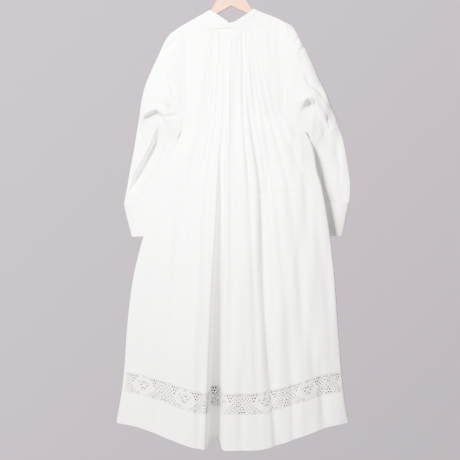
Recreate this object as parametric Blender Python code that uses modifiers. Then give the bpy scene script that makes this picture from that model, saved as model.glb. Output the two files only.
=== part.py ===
"""A white cotton church smock (alb) that hangs on a wooden hanger.

Metres, +Z up, +X to the viewer's right, +Y away from the viewer. The origin is the inside top of the
hanger's hook, and "drop" is the distance below it. Each cloth piece is a thin wall: a grid of outer points
worked out from the tables below, and the same grid moved inwards by the wall's thickness.
"""

import math

import bmesh
import bpy
import numpy as np

WALL = 0.002
LONGEST_MITRE = 2.0
SEAM = 0.0003
HALF_SEAM = SEAM / 2
SHARP_ANGLE = math.radians(40)

# The hanger, in its own upright frame, before it tilts on its hook
TILT = math.radians(2.2)
WOOD_THICKNESS = 0.012
WOOD_EDGE = 0.0022
WIRE_RADIUS = 0.0018
HOOK_BEND = 0.021
WOOD_TOP = 0.062
HOOK_STEP = 14
WOOD_HALF_OUTLINE = [
    dict(part="crown", x=0.012, drop=0.0620),
    dict(part="crown edge", x=0.024, drop=0.0650),
    dict(part="neck", x=0.036, drop=0.0715),
    dict(part="neck side", x=0.045, drop=0.0815),
    dict(part="neck foot", x=0.0545, drop=0.0970),
    dict(part="arm root", x=0.0635, drop=0.1110),
    dict(part="arm", x=0.0800, drop=0.1201),
    dict(part="arm", x=0.1100, drop=0.1386),
    dict(part="arm", x=0.1450, drop=0.1590),
    dict(part="arm tip", x=0.1750, drop=0.1790),
    dict(part="arm tip", x=0.1830, drop=0.1870),
    dict(part="tip under", x=0.1820, drop=0.1960),
    dict(part="tip under", x=0.1740, drop=0.1945),
    dict(part="underside", x=0.1200, drop=0.1615),
    dict(part="underside", x=0.0500, drop=0.1240),
]
WOOD_APEX_DROP = 0.0985
WOOD_SHARP_ANGLE = math.radians(60)
SHANK = [(0, 0.0540), (0.0010, 0.0485), (0.0042, 0.0440)]
HOOK_ANGLES = (-70, 206)

# The body, a row for each section: its side edges as seen from the front, the half depth of the armhole,
# the depth of the side seam, how far the front and back stand off it, and how far the middle hangs lower
UNDERARM = 0.490
YOKE_SEAM = 0.1723
LACE_TOP = 1.2286
LACE_BOTTOM = 1.2937
HEM_EDGE = 1.3880
BODY = [
    dict(name="yoke seam", drop=0.1723, left=-0.143, right=0.149, armhole=0.0125, side_y=0.000,
         front=0.005, back=0.004, dip=0.000),
    dict(name="shoulder", drop=0.2100, left=-0.138, right=0.150, armhole=0.0170, side_y=0.000,
         front=0.012, back=0.010, dip=0.000),
    dict(name="chest", drop=0.2600, left=-0.134, right=0.152, armhole=0.0205, side_y=0.000,
         front=0.018, back=0.014, dip=0.000),
    dict(name="chest", drop=0.3200, left=-0.133, right=0.154, armhole=0.0225, side_y=0.000,
         front=0.025, back=0.019, dip=0.000),
    dict(name="bust", drop=0.3800, left=-0.134, right=0.156, armhole=0.0220, side_y=0.000,
         front=0.031, back=0.024, dip=0.000),
    dict(name="ribs", drop=0.4300, left=-0.138, right=0.161, armhole=0.0180, side_y=0.000,
         front=0.039, back=0.029, dip=0.000),
    dict(name="ribs", drop=0.4650, left=-0.144, right=0.196, armhole=0.0115, side_y=-0.001,
         front=0.043, back=0.033, dip=0.000),
    dict(name="underarm", drop=0.4900, left=-0.150, right=0.230, armhole=0.0000, side_y=-0.003,
         front=0.045, back=0.034, dip=0.000),
    dict(name="waist", drop=0.5200, left=-0.162, right=0.249, armhole=0.0000, side_y=-0.008,
         front=0.044, back=0.040, dip=0.001),
    dict(name="waist", drop=0.5600, left=-0.181, right=0.260, armhole=0.0000, side_y=-0.014,
         front=0.043, back=0.047, dip=0.003),
    dict(name="hip", drop=0.6100, left=-0.200, right=0.268, armhole=0.0000, side_y=-0.019,
         front=0.042, back=0.054, dip=0.006),
    dict(name="hip", drop=0.6700, left=-0.219, right=0.285, armhole=0.0000, side_y=-0.022,
         front=0.043, back=0.060, dip=0.010),
    dict(name="thigh", drop=0.7500, left=-0.246, right=0.299, armhole=0.0000, side_y=-0.023,
         front=0.047, back=0.066, dip=0.016),
    dict(name="thigh", drop=0.8500, left=-0.276, right=0.313, armhole=0.0000, side_y=-0.020,
         front=0.054, back=0.071, dip=0.024),
    dict(name="knee", drop=0.9600, left=-0.301, right=0.325, armhole=0.0000, side_y=-0.014,
         front=0.063, back=0.076, dip=0.033),
    dict(name="shin", drop=1.0900, left=-0.317, right=0.335, armhole=0.0000, side_y=-0.007,
         front=0.074, back=0.080, dip=0.044),
    dict(name="lace top", drop=1.2286, left=-0.327, right=0.346, armhole=0.0000, side_y=-0.002,
         front=0.082, back=0.082, dip=0.055),
    dict(name="lace bottom", drop=1.2937, left=-0.335, right=0.353, armhole=0.0000, side_y=0.000,
         front=0.084, back=0.084, dip=0.058),
    dict(name="hem", drop=1.3880, left=-0.351, right=0.368, armhole=0.0000, side_y=0.000,
         front=0.086, back=0.086, dip=0.068),
]
SIDE_ROUND = 0.009
SIDE_FLANGE = 0.003
CROWN_POWER = 2.2
EDGE_ROUND_START = 0.440
DIP_REACH = 0.85

# The back leaves room for the sleeves between these drops, where its crown is narrower, like a bell
BELL_POWER = 1.2
BELL_STARTS = (0.370, 0.530)
BELL_ENDS = (0.800, 1.050)

# No fold reaches the side edges: shares of the way to the middle where the folds start and are whole
FOLD_WINDOW = (0.02, 0.22)

# Folds that run down the body, a row each: where the fold lies and how deep it is at five drops,
# its half widths on the left and right at the top and the hem, and how steep its walls are.
# A negative depth is a ridge.
FOLD_DROPS = (0.200, 0.450, 0.670, 1.000, 1.388)
FRONT_FOLDS = [
    dict(name="left breast", x=(-0.059, -0.083, -0.129, -0.165, -0.190),
         depth=(0.002, 0.010, 0.010, 0.003, 0), top=(0.010, 0.008), hem=(0.030, 0.022), steep=2),
    dict(name="left gather", x=(-0.020, -0.032, -0.053, -0.062, -0.075),
         depth=(0.001, 0.009, 0.005, 0, 0), top=(0.007, 0.006), hem=(0.016, 0.014), steep=2),
    dict(name="middle gather", x=(-0.008, -0.014, -0.021, -0.030, -0.040),
         depth=(0.001, 0.007, 0, 0, 0), top=(0.005, 0.005), hem=(0.010, 0.010), steep=2),
    dict(name="deep pleat", x=(-0.022, -0.022, -0.0245, -0.038, -0.047),
         depth=(0, 0, 0.024, 0.080, 0.120), top=(0.006, 0.004), hem=(0.021, 0.019), steep=6),
    dict(name="right gather", x=(0.028, 0.021, 0.023, 0.040, 0.050),
         depth=(0.001, 0.008, 0.005, 0, 0), top=(0.007, 0.006), hem=(0.016, 0.014), steep=2),
    dict(name="long pleat", x=(0.037, 0.062, 0.094, 0.107, 0.140),
         depth=(0.002, 0.014, 0.020, 0.026, 0.014), top=(0.005, 0.009), hem=(0.014, 0.034), steep=2),
    dict(name="right breast", x=(0.062, 0.101, 0.135, 0.172, 0.193),
         depth=(0.002, 0.009, 0.008, 0.010, 0.008), top=(0.008, 0.010), hem=(0.018, 0.026), steep=2),
    dict(name="right side", x=(0.085, 0.150, 0.232, 0.260, 0.290),
         depth=(0.001, 0.005, 0.004, 0, 0), top=(0.008, 0.010), hem=(0.020, 0.020), steep=2),
    dict(name="right skirt", x=(0.110, 0.160, 0.200, 0.222, 0.300),
         depth=(0, 0, 0, 0.008, 0.007), top=(0.010, 0.010), hem=(0.026, 0.022), steep=2),
    dict(name="left ridge", x=(-0.040, -0.060, -0.085, -0.104, -0.134),
         depth=(0, 0, -0.004, -0.010, -0.007), top=(0.010, 0.010), hem=(0.026, 0.022), steep=2),
    dict(name="left skirt", x=(-0.080, -0.110, -0.150, -0.172, -0.222),
         depth=(0, 0, 0.002, 0.007, 0.008), top=(0.010, 0.010), hem=(0.024, 0.026), steep=2),
    dict(name="left hem", x=(-0.100, -0.120, -0.190, -0.240, -0.276),
         depth=(0, 0, 0, 0.003, 0.007), top=(0.010, 0.010), hem=(0.018, 0.018), steep=2),
]
BACK_FOLDS = [
    dict(name="left back", x=(-0.066, -0.086, -0.112, -0.160, -0.212),
         depth=(0.002, 0.008, 0.010, 0.012, 0.016), top=(0.008, 0.008), hem=(0.024, 0.028), steep=2),
    dict(name="left pleat", x=(-0.036, -0.048, -0.062, -0.088, -0.112),
         depth=(0.002, 0.009, 0.016, 0.028, 0.034), top=(0.006, 0.007), hem=(0.022, 0.016), steep=2),
    dict(name="middle back", x=(0.000, 0.004, 0.008, 0.012, 0.014),
         depth=(0.001, 0.007, 0.008, 0.006, 0.008), top=(0.006, 0.006), hem=(0.020, 0.020), steep=2),
    dict(name="right pleat", x=(0.040, 0.056, 0.074, 0.104, 0.136),
         depth=(0.002, 0.010, 0.018, 0.032, 0.040), top=(0.006, 0.007), hem=(0.018, 0.024), steep=2),
    dict(name="right back", x=(0.074, 0.096, 0.124, 0.178, 0.240),
         depth=(0.002, 0.007, 0.009, 0.012, 0.014), top=(0.008, 0.008), hem=(0.026, 0.026), steep=2),
]
DEEP_PLEAT = FRONT_FOLDS[3]
PLEAT_HEM_RISE = 0.011
PLEAT_RISE_START = 0.9

# Small gathers sewn into the yoke seam
GATHER_PITCH = 0.0138
GATHER_DEPTH = 0.0016
GATHER_END = 0.300
GATHER_HALF_WIDTH = 0.062
GATHER_MIDDLE = 0.007

# The plain tab under the neckband's ends
TAB = dict(left=-0.020, right=0.034, top=0.1735, bottom=0.2040)
TAB_WALL = 0.0012
TAB_LIFT = 0.0010
TAB_COLUMNS = 7
TAB_CLEAR = 0.004

# The grid of each body panel: its rows, and the columns between its edges and its two deepest folds
PANEL_DROPS = [row["drop"] for row in BODY if row["drop"] <= LACE_TOP]
FRONT_COLUMNS = (23, 15, 14)
FRONT_LOCKS = (3, 5)
BACK_COLUMNS = (14, 12, 14)
BACK_LOCKS = (1, 3)
HEM_ROWS = 1
SPACING_SAMPLES = 400
CLOSER_IN_GATHERS = 3.5
CLOSER_DROPS = (0.20, 0.45)
UNDERARM_ROW = PANEL_DROPS.index(UNDERARM)
UNDERARM_OUT = (1.2, -1.6)
ABOVE_UNDERARM_OUT = 0.8

# The lace band: cells along one repeat and across the band, and the cells that hold a gap
LACE_REPEAT_CELLS = 8
LACE_ROWS = 4
LACE_GAP_ROWS = [
    dict(row=0, cells=(0, 1, 7, 4), width=0.62, height=0.56),
    dict(row=1, cells=(0, 4, 3, 5), width=0.52, height=0.56),
    dict(row=2, cells=(4, 7), width=0.52, height=0.56),
    dict(row=3, cells=(2, 3, 6), width=0.62, height=0.56),
]

# The neck: the band's upper and lower edge, an x, y and drop each, from the front end to the back middle
NECK_LEFT = [
    dict(name="front end, on top", upper=(-0.0070, -0.0214, 0.1512), lower=(-0.0075, -0.0212, 0.1715)),
    dict(name="front", upper=(-0.0165, -0.0212, 0.1452), lower=(-0.0250, -0.0205, 0.1600)),
    dict(name="front", upper=(-0.0310, -0.0190, 0.1345), lower=(-0.0400, -0.0190, 0.1490)),
    dict(name="front side", upper=(-0.0460, -0.0155, 0.1240), lower=(-0.0560, -0.0155, 0.1370)),
    dict(name="front corner", upper=(-0.0600, -0.0097, 0.1156), lower=(-0.0740, -0.0097, 0.1250)),
    dict(name="over the arm", upper=(-0.0620, -0.0050, 0.1118), lower=(-0.0780, -0.0050, 0.1213)),
    dict(name="over the arm", upper=(-0.0620, 0.0050, 0.1118), lower=(-0.0780, 0.0050, 0.1213)),
    dict(name="back corner", upper=(-0.0600, 0.0097, 0.1156), lower=(-0.0740, 0.0097, 0.1250)),
    dict(name="back side", upper=(-0.0460, 0.0140, 0.1240), lower=(-0.0560, 0.0140, 0.1370)),
    dict(name="back", upper=(-0.0310, 0.0160, 0.1345), lower=(-0.0400, 0.0160, 0.1490)),
    dict(name="back", upper=(-0.0165, 0.0170, 0.1450), lower=(-0.0250, 0.0170, 0.1600)),
    dict(name="back middle", upper=(0.0050, 0.0170, 0.1520), lower=(0.0050, 0.0165, 0.1720)),
]
NECK_RIGHT = [
    dict(name="front end, below", upper=(-0.0140, -0.0186, 0.1500), lower=(-0.0150, -0.0186, 0.1645)),
    dict(name="front", upper=(-0.0040, -0.0190, 0.1547), lower=(-0.0040, -0.0190, 0.1718)),
    dict(name="front", upper=(0.0100, -0.0190, 0.1525), lower=(0.0140, -0.0190, 0.1712)),
    dict(name="front", upper=(0.0310, -0.0180, 0.1408), lower=(0.0400, -0.0180, 0.1560)),
    dict(name="front side", upper=(0.0530, -0.0155, 0.1260), lower=(0.0630, -0.0155, 0.1395)),
    dict(name="front corner", upper=(0.0700, -0.0097, 0.1117), lower=(0.0850, -0.0097, 0.1197)),
    dict(name="over the arm", upper=(0.0725, -0.0050, 0.1079), lower=(0.0885, -0.0050, 0.1160)),
    dict(name="over the arm", upper=(0.0725, 0.0050, 0.1079), lower=(0.0885, 0.0050, 0.1160)),
    dict(name="back corner", upper=(0.0700, 0.0097, 0.1117), lower=(0.0850, 0.0097, 0.1197)),
    dict(name="back side", upper=(0.0530, 0.0140, 0.1260), lower=(0.0630, 0.0140, 0.1395)),
    dict(name="back", upper=(0.0350, 0.0160, 0.1385), lower=(0.0440, 0.0160, 0.1540)),
    dict(name="back", upper=(0.0220, 0.0170, 0.1470), lower=(0.0280, 0.0170, 0.1640)),
]
BAND_WALL = 0.002

# The yokes: where the cloth bends over the hanger's arm, and their points
RIDGE_Y = 0.0050
CORNER_Y = 0.0098
CORNER_DROP = 0.0040
RIDGE_FRONT = 5
RIDGE_BACK = 6
YOKE_RIDGE_END = dict(left=0.1580, right=0.1395)
YOKE_STATIONS = 5
YOKE_RIGHT_POINT = 0.0130
RIGHT_POINT_Y = 0.0188
NECK_BACK_MIDDLE = 0.0050
YOKE_RIGHT_SIDE = (0.0215, -0.0188, -0.1670)
CHEST_CENTRE = (0.005, 0, -0.30)
SIDEWAYS_SHARE = 0.1

# The sleeves, a row for each ring: its outer and inner edge as seen from the front, its depth and half
# depth, and how far its middle bows away from the body
LEFT_SLEEVE = [
    dict(outer=(-0.1600, 0.1680), inner=(-0.1535, 0.4925), y=0.000, half=0.027, bow=0.006),
    dict(outer=(-0.1910, 0.1925), inner=(-0.1575, 0.4970), y=0.004, half=0.030, bow=0.012),
    dict(outer=(-0.2185, 0.2450), inner=(-0.1600, 0.5050), y=0.009, half=0.033, bow=0.018),
    dict(outer=(-0.2420, 0.2940), inner=(-0.1605, 0.5180), y=0.016, half=0.035, bow=0.020),
    dict(outer=(-0.2635, 0.3435), inner=(-0.1600, 0.5350), y=0.024, half=0.036, bow=0.020),
    dict(outer=(-0.2760, 0.3920), inner=(-0.1590, 0.5560), y=0.031, half=0.036, bow=0.020),
    dict(outer=(-0.2830, 0.4380), inner=(-0.1580, 0.5780), y=0.038, half=0.033, bow=0.018),
    dict(outer=(-0.2915, 0.4830), inner=(-0.1560, 0.6020), y=0.043, half=0.030, bow=0.014),
    dict(outer=(-0.2990, 0.5300), inner=(-0.1530, 0.6280), y=0.046, half=0.028, bow=0.010),
    dict(outer=(-0.3120, 0.5970), inner=(-0.1500, 0.6560), y=0.048, half=0.027, bow=0.006),
    dict(outer=(-0.3235, 0.6600), inner=(-0.1465, 0.6840), y=0.050, half=0.026, bow=0.003),
    dict(outer=(-0.3335, 0.7130), inner=(-0.1430, 0.7090), y=0.052, half=0.025, bow=0.000),
]
RIGHT_SLEEVE = [
    dict(outer=(0.1700, 0.1495), inner=(0.2378, 0.4925), y=0.000, half=0.027, bow=0.006),
    dict(outer=(0.1930, 0.1625), inner=(0.2447, 0.4970), y=0.004, half=0.030, bow=0.012),
    dict(outer=(0.2160, 0.1990), inner=(0.2490, 0.5050), y=0.009, half=0.033, bow=0.018),
    dict(outer=(0.2400, 0.2390), inner=(0.2505, 0.5180), y=0.016, half=0.035, bow=0.020),
    dict(outer=(0.2700, 0.3000), inner=(0.2495, 0.5350), y=0.024, half=0.036, bow=0.020),
    dict(outer=(0.2960, 0.3540), inner=(0.2467, 0.5560), y=0.031, half=0.036, bow=0.020),
    dict(outer=(0.3180, 0.4060), inner=(0.2428, 0.5780), y=0.038, half=0.033, bow=0.018),
    dict(outer=(0.3420, 0.4640), inner=(0.2360, 0.6010), y=0.043, half=0.030, bow=0.014),
    dict(outer=(0.3600, 0.5280), inner=(0.2270, 0.6260), y=0.046, half=0.028, bow=0.010),
    dict(outer=(0.3720, 0.5980), inner=(0.2180, 0.6540), y=0.048, half=0.027, bow=0.006),
    dict(outer=(0.3790, 0.6600), inner=(0.2080, 0.6810), y=0.050, half=0.026, bow=0.003),
    dict(outer=(0.3765, 0.7050), inner=(0.1980, 0.7040), y=0.052, half=0.025, bow=0.000),
]
LEFT_CUFF = [
    dict(outer=(-0.3335, 0.7133), inner=(-0.1430, 0.7093), y=0.052, half=0.025, bow=0),
    dict(outer=(-0.3220, 0.7620), inner=(-0.1440, 0.7570), y=0.053, half=0.024, bow=0),
    dict(outer=(-0.3090, 0.8135), inner=(-0.1450, 0.8070), y=0.054, half=0.023, bow=0),
]
RIGHT_CUFF = [
    dict(outer=(0.3765, 0.7053), inner=(0.1980, 0.7043), y=0.052, half=0.025, bow=0),
    dict(outer=(0.3650, 0.7590), inner=(0.1940, 0.7570), y=0.053, half=0.024, bow=0),
    dict(outer=(0.3550, 0.8130), inner=(0.1900, 0.8080), y=0.054, half=0.023, bow=0),
]
RING_ROUNDNESS = 0.75
RING_TOP_HALF = 0.027
RING_TOP_ANGLE = 0.5

# The upper sleeve hangs over the lower one along this line, seen from the front
LEFT_OVERHANG = [dict(x=-0.285, drop=0.458), dict(x=-0.250, drop=0.434), dict(x=-0.227, drop=0.425),
                 dict(x=-0.210, drop=0.440), dict(x=-0.190, drop=0.470)]
RIGHT_OVERHANG = [dict(x=0.207, drop=0.425), dict(x=0.244, drop=0.394), dict(x=0.262, drop=0.400),
                  dict(x=0.285, drop=0.440), dict(x=0.310, drop=0.470)]
OVERHANG_STEP = 0.020
OVERHANG_SOFTNESS = 0.030
OVERHANG_LEVEL = 0.4


def column(table, name):
    """One named column of a table as an array."""
    return np.array([row[name] for row in table], dtype=float)


def smooth_line(stations, values, at):
    """A smooth curve through (station, value) pairs, in cubic pieces that never overshoot the values."""
    stations = np.asarray(stations, dtype=float)
    values = np.asarray(values, dtype=float)
    at = np.clip(np.asarray(at, dtype=float), stations[0], stations[-1])
    widths = np.diff(stations)
    slopes = np.diff(values) / widths
    tangents = np.zeros(len(values))
    inner = slopes[:-1] * slopes[1:] > 0
    mean = 2 * slopes[:-1] * slopes[1:] / np.where(inner, slopes[:-1] + slopes[1:], 1)
    tangents[1:-1] = np.where(inner, mean, 0)
    tangents[0] = slopes[0]
    tangents[-1] = slopes[-1]
    piece = np.clip(np.searchsorted(stations, at, side="right") - 1, 0, len(widths) - 1)
    width = widths[piece]
    t = (at - stations[piece]) / width
    start = values[piece] * (1 + 2 * t) * (1 - t) ** 2 + tangents[piece] * width * t * (1 - t) ** 2
    end = values[piece + 1] * t ** 2 * (3 - 2 * t) + tangents[piece + 1] * width * t ** 2 * (t - 1)
    return start + end


def step(low, high, value):
    """0 below low, 1 above high, and a smooth S between."""
    t = np.clip((np.asarray(value, dtype=float) - low) / (high - low), 0, 1)
    return t * t * (3 - 2 * t)


def section(drop):
    """The body's section values at one drop, read from the BODY table."""
    drops = column(BODY, "drop")
    return {name: float(smooth_line(drops, column(BODY, name), drop))
            for name in ("left", "right", "armhole", "side_y", "front", "back", "dip")}


def fold_values(fold, drop):
    """Place, depth and the two half widths of one fold at one drop."""
    down = (drop - FOLD_DROPS[0]) / (FOLD_DROPS[-1] - FOLD_DROPS[0])
    place = float(smooth_line(FOLD_DROPS, fold["x"], drop))
    depth = float(smooth_line(FOLD_DROPS, fold["depth"], drop))
    left = fold["top"][0] + (fold["hem"][0] - fold["top"][0]) * max(down, 0)
    right = fold["top"][1] + (fold["hem"][1] - fold["top"][1]) * max(down, 0)
    return place, depth, left, right


def fold_shape(fold, x, drop):
    """A fold's trough at x, from 0 to 1: 1 / (1 + |t| ** steep), with t the distance over its half width."""
    place, depth, left, right = fold_values(fold, drop)
    t = (x - place) / np.where(x < place, left, right)
    return 1 / (1 + np.abs(t) ** fold["steep"])


def fold_depth(folds, x, drop):
    """Depth of all folds at x."""
    return sum(fold_values(fold, drop)[1] * fold_shape(fold, x, drop) for fold in folds)


def gather_depth(x, drop):
    """Waves of the gathers in the yoke seam, which fade out downwards and stay clear of the plain tab."""
    out = np.abs(x - GATHER_MIDDLE)
    reach = 1 - step(GATHER_HALF_WIDTH - GATHER_PITCH, GATHER_HALF_WIDTH + GATHER_PITCH / 2, out)
    under_tab = (x > TAB["left"] - TAB_CLEAR) & (x < TAB["right"] + TAB_CLEAR)
    plain = np.where(under_tab, step(TAB["bottom"] - TAB_CLEAR, TAB["bottom"] + 5 * TAB_CLEAR, drop), 1)
    fade = 1 - step(TAB["bottom"], GATHER_END, drop)
    return GATHER_DEPTH * reach * plain * fade * np.sin(2 * math.pi * (x - GATHER_MIDDLE) / GATHER_PITCH)


def body_line(side, drop, x):
    """Points of the body's front (side -1) or back (side 1) at one drop, without its side flanges."""
    here = section(drop)
    width = here["right"] - here["left"]
    inward = np.minimum(x - here["left"], here["right"] - x)
    middle = np.clip(2 * inward / width, 0, 1)
    edge_round = SIDE_ROUND * float(step(EDGE_ROUND_START, UNDERARM, drop))
    rounding = np.sqrt(np.maximum(1 - (1 - np.clip(inward / SIDE_ROUND, 0, 1)) ** 2, 0))
    if side < 0:
        crown = here["front"] * (1 - (1 - middle) ** CROWN_POWER)
        folds = fold_depth(FRONT_FOLDS, x, drop) + gather_depth(x, drop)
    else:
        bell = step(0, 1, middle) ** BELL_POWER
        broad = 1 - (1 - middle) ** CROWN_POWER
        behind_sleeves = float(step(*BELL_STARTS, drop) * (1 - step(*BELL_ENDS, drop)))
        crown = here["back"] * (bell * behind_sleeves + broad * (1 - behind_sleeves))
        folds = fold_depth(BACK_FOLDS, x, drop) + gather_depth(x, drop)
    window = step(*FOLD_WINDOW, middle)
    stand_off = HALF_SEAM + max(here["armhole"], SIDE_FLANGE)
    depth = stand_off + edge_round * rounding + crown - folds * window
    rise = 0
    if side < 0:
        rise = PLEAT_HEM_RISE * step(PLEAT_RISE_START, HEM_EDGE, drop) * fold_shape(DEEP_PLEAT, x, drop)
    y = here["side_y"] + side * depth
    z = -(drop + here["dip"] * step(0, DIP_REACH, middle)) + rise
    return np.stack([x, y, z], axis=-1)


def spaced(side, drop, counts, locks):
    """Columns of one row: even along the cloth from edge to locked fold to edge, closer in the gathers."""
    here = section(drop)
    folds = FRONT_FOLDS if side < 0 else BACK_FOLDS
    breaks = [here["left"]] + [fold_values(folds[k], drop)[0] for k in locks] + [here["right"]]
    columns = []
    for start, end, count in zip(breaks[:-1], breaks[1:], counts):
        x = np.linspace(start, end, SPACING_SAMPLES)
        points = body_line(side, drop, x)
        length = np.linalg.norm(np.diff(points, axis=0), axis=1)
        middle = (x[1:] + x[:-1]) / 2
        gathered = np.exp(-((middle - GATHER_MIDDLE) / GATHER_HALF_WIDTH) ** 2)
        closer = 1 + CLOSER_IN_GATHERS * gathered * (1 - step(*CLOSER_DROPS, drop))
        run = np.concatenate([[0], np.cumsum(length * closer)])
        columns.append(np.interp(np.linspace(0, run[-1], count + 1)[:-1], run, x))
    columns.append([here["right"]])
    return np.concatenate(columns)


def body_row(side, drop, counts, locks):
    """One row of a panel. Below the underarm its two edges turn into the side seam with a short flange."""
    x = spaced(side, drop, counts, locks)
    points = body_line(side, drop, x)
    if drop > UNDERARM - 1e-9:
        for edge, next_in in ((0, 1), (-1, -2)):
            points[next_in] = points[edge]
            points[edge, 1] -= side * SIDE_FLANGE
    return points


def unit(vectors):
    """Vectors scaled to length 1."""
    return vectors / np.maximum(np.linalg.norm(vectors, axis=-1, keepdims=True), 1e-12)


def grid_normals(grid, closed):
    """Outward normals of a grid, the mean of the cells round each point.

    They are longer than 1 where the cells turn, as in a mitre, so that the wall keeps its thickness there.
    """
    if closed:
        grid = np.concatenate([grid, grid[:, :1]], axis=1)
    cell = unit(np.cross(grid[1:, 1:] - grid[:-1, :-1], grid[1:, :-1] - grid[:-1, 1:]))
    rows, columns = grid.shape[:2]
    total = np.zeros((rows, columns, 3))
    cells = np.zeros((rows, columns, 1))
    for row_part in (slice(None, -1), slice(1, None)):
        for column_part in (slice(None, -1), slice(1, None)):
            total[row_part, column_part] += cell
            cells[row_part, column_part] += 1
    if closed:
        total[:, 0] += total[:, -1]
        cells[:, 0] += cells[:, -1]
        total, cells = total[:, :-1], cells[:, :-1]
    turn = np.linalg.norm(total, axis=-1, keepdims=True) / cells
    return unit(total) / np.maximum(turn, 1 / LONGEST_MITRE)


def material(name, colour, roughness, metallic=0.0):
    """A Principled BSDF material with one colour."""
    made = bpy.data.materials.new(name)
    made.use_nodes = True
    shader = made.node_tree.nodes["Principled BSDF"]
    shader.inputs["Base Color"].default_value = (*colour, 1)
    shader.inputs["Roughness"].default_value = roughness
    shader.inputs["Metallic"].default_value = metallic
    made.diffuse_color = (*colour, 1)
    return made


def add_mesh(name, vertices, faces, collection, finish):
    """A mesh object of its own, shaded smooth, with its faces turned outwards."""
    mesh = bpy.data.meshes.new(name)
    points = [tuple(map(float, point)) for point in vertices]
    mesh.from_pydata(points, [], [tuple(map(int, face)) for face in faces])
    shape = bmesh.new()
    shape.from_mesh(mesh)
    bmesh.ops.recalc_face_normals(shape, faces=shape.faces)
    shape.to_mesh(mesh)
    shape.free()
    mesh.shade_smooth()
    mesh.set_sharp_from_angle(angle=SHARP_ANGLE)
    mesh.materials.append(finish)
    made = bpy.data.objects.new(name, mesh)
    collection.objects.link(made)
    return made


def wall_mesh(outer, inner, closed, gaps=None):
    """Vertices and triangles of a wall between two grids, cut the same way in both.

    gaps maps a cell to the width and height of the hole through it, as shares of the cell.
    """
    gaps = gaps or {}
    rows, columns = outer.shape[:2]
    count = rows * columns
    vertices = [*outer.reshape(-1, 3), *inner.reshape(-1, 3)]
    faces = []

    def corner(layer, row, col):
        return layer * count + row * columns + col % columns

    def add_quad(a, b, c, d):
        faces.append((a, b, c))
        faces.append((a, c, d))

    last = columns if closed else columns - 1
    for row in range(rows - 1):
        for col in range(last):
            rings = []
            for layer in (0, 1):
                ring = [corner(layer, row, col), corner(layer, row, col + 1),
                        corner(layer, row + 1, col + 1), corner(layer, row + 1, col)]
                rings.append(ring)
            if (row, col) not in gaps:
                for a, b, c, d in rings:
                    add_quad(a, b, c, d)
                continue
            width, height = gaps[(row, col)]
            holes = []
            for ring in rings:
                points = [np.asarray(vertices[k]) for k in ring]
                centre = sum(points) / 4
                across = (points[1] + points[2] - points[0] - points[3]) / 4
                down = (points[2] + points[3] - points[0] - points[1]) / 4
                first = len(vertices)
                for side_x, side_y in ((-1, -1), (1, -1), (1, 1), (-1, 1)):
                    vertices.append(centre + across * width * side_x + down * height * side_y)
                holes.append([first, first + 1, first + 2, first + 3])
            for k in range(4):
                n = (k + 1) % 4
                for layer in (0, 1):
                    add_quad(rings[layer][k], rings[layer][n], holes[layer][n], holes[layer][k])
                add_quad(holes[0][k], holes[0][n], holes[1][n], holes[1][k])
    for row in (0, rows - 1):
        for col in range(last):
            near, far = (row, col), (row, col + 1)
            add_quad(corner(0, *near), corner(1, *near), corner(1, *far), corner(0, *far))
    if not closed:
        for col in (0, columns - 1):
            for row in range(rows - 1):
                near, far = (row, col), (row + 1, col)
                add_quad(corner(0, *near), corner(0, *far), corner(1, *far), corner(1, *near))
    return vertices, faces


def level(normals, rows):
    """Makes the normals of some rows level, so that a seam's two faces stay parallel."""
    for row in rows:
        length = np.linalg.norm(normals[row], axis=-1, keepdims=True)
        normals[row, :, 2] = 0
        normals[row] = unit(normals[row]) * length


def body_normals(side, grid, drops):
    """Normals of a panel: level at its seams, along Y at the armholes and along X at the side seams."""
    normals = grid_normals(grid, False)
    if np.sum(normals[..., 1]) * side < 0:
        normals = -normals
    level(normals, (0, -1))
    for row, drop in enumerate(drops):
        for edge, way in ((0, -1), (-1, 1)):
            if drop > UNDERARM - 1e-9:
                normals[row, edge] = (way, 0, 0)
            else:
                near = row == UNDERARM_ROW - 1
                normals[row, edge, 0] = way * ABOVE_UNDERARM_OUT if near else 0
                normals[row, edge] = unit(normals[row, edge])
    return normals


def panel_row(side, drop):
    """One row of the front or the back, with the columns that all of its pieces share."""
    if side < 0:
        return body_row(side, drop, FRONT_COLUMNS, FRONT_LOCKS)
    return body_row(side, drop, BACK_COLUMNS, BACK_LOCKS)


def panel_grid(side):
    """The rows of a body panel from the yoke seam to the lace."""
    return np.array([panel_row(side, drop) for drop in PANEL_DROPS])


def add_panel(name, side, collection, finish):
    """The front or back of the body."""
    grid = panel_grid(side)
    grid[-1, :, 2] += HALF_SEAM
    normals = body_normals(side, grid, PANEL_DROPS)
    vertices, faces = wall_mesh(grid, grid - normals * WALL, False)
    return add_mesh(name, vertices, faces, collection, finish)


def lace_gaps(cells):
    """Cells of the lace band that hold a gap, the same in every repeat, clear of both side seams."""
    gaps = {}
    for cell in range(1, cells - 1):
        for line in LACE_GAP_ROWS:
            if cell % LACE_REPEAT_CELLS in line["cells"]:
                gaps[(line["row"], cell)] = (line["width"], line["height"])
    return gaps


def add_skirt_band(name, side, top, bottom, heights, gaps, collection, finish):
    """The lace or the hem band, half a seam short at each seam that it shares."""
    drops = np.linspace(top, bottom, heights + 1)
    grid = np.array([panel_row(side, drop) for drop in drops])
    grid[0, :, 2] -= HALF_SEAM
    if bottom < HEM_EDGE:
        grid[-1, :, 2] += HALF_SEAM
    normals = body_normals(side, grid, drops)
    vertices, faces = wall_mesh(grid, grid - normals * WALL, False, gaps)
    return add_mesh(name, vertices, faces, collection, finish)


def neck_edge(table, edge):
    """The points of one edge of the neckband."""
    points = np.array([row[edge] for row in table], dtype=float)
    points[:, 2] *= -1
    return points


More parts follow.
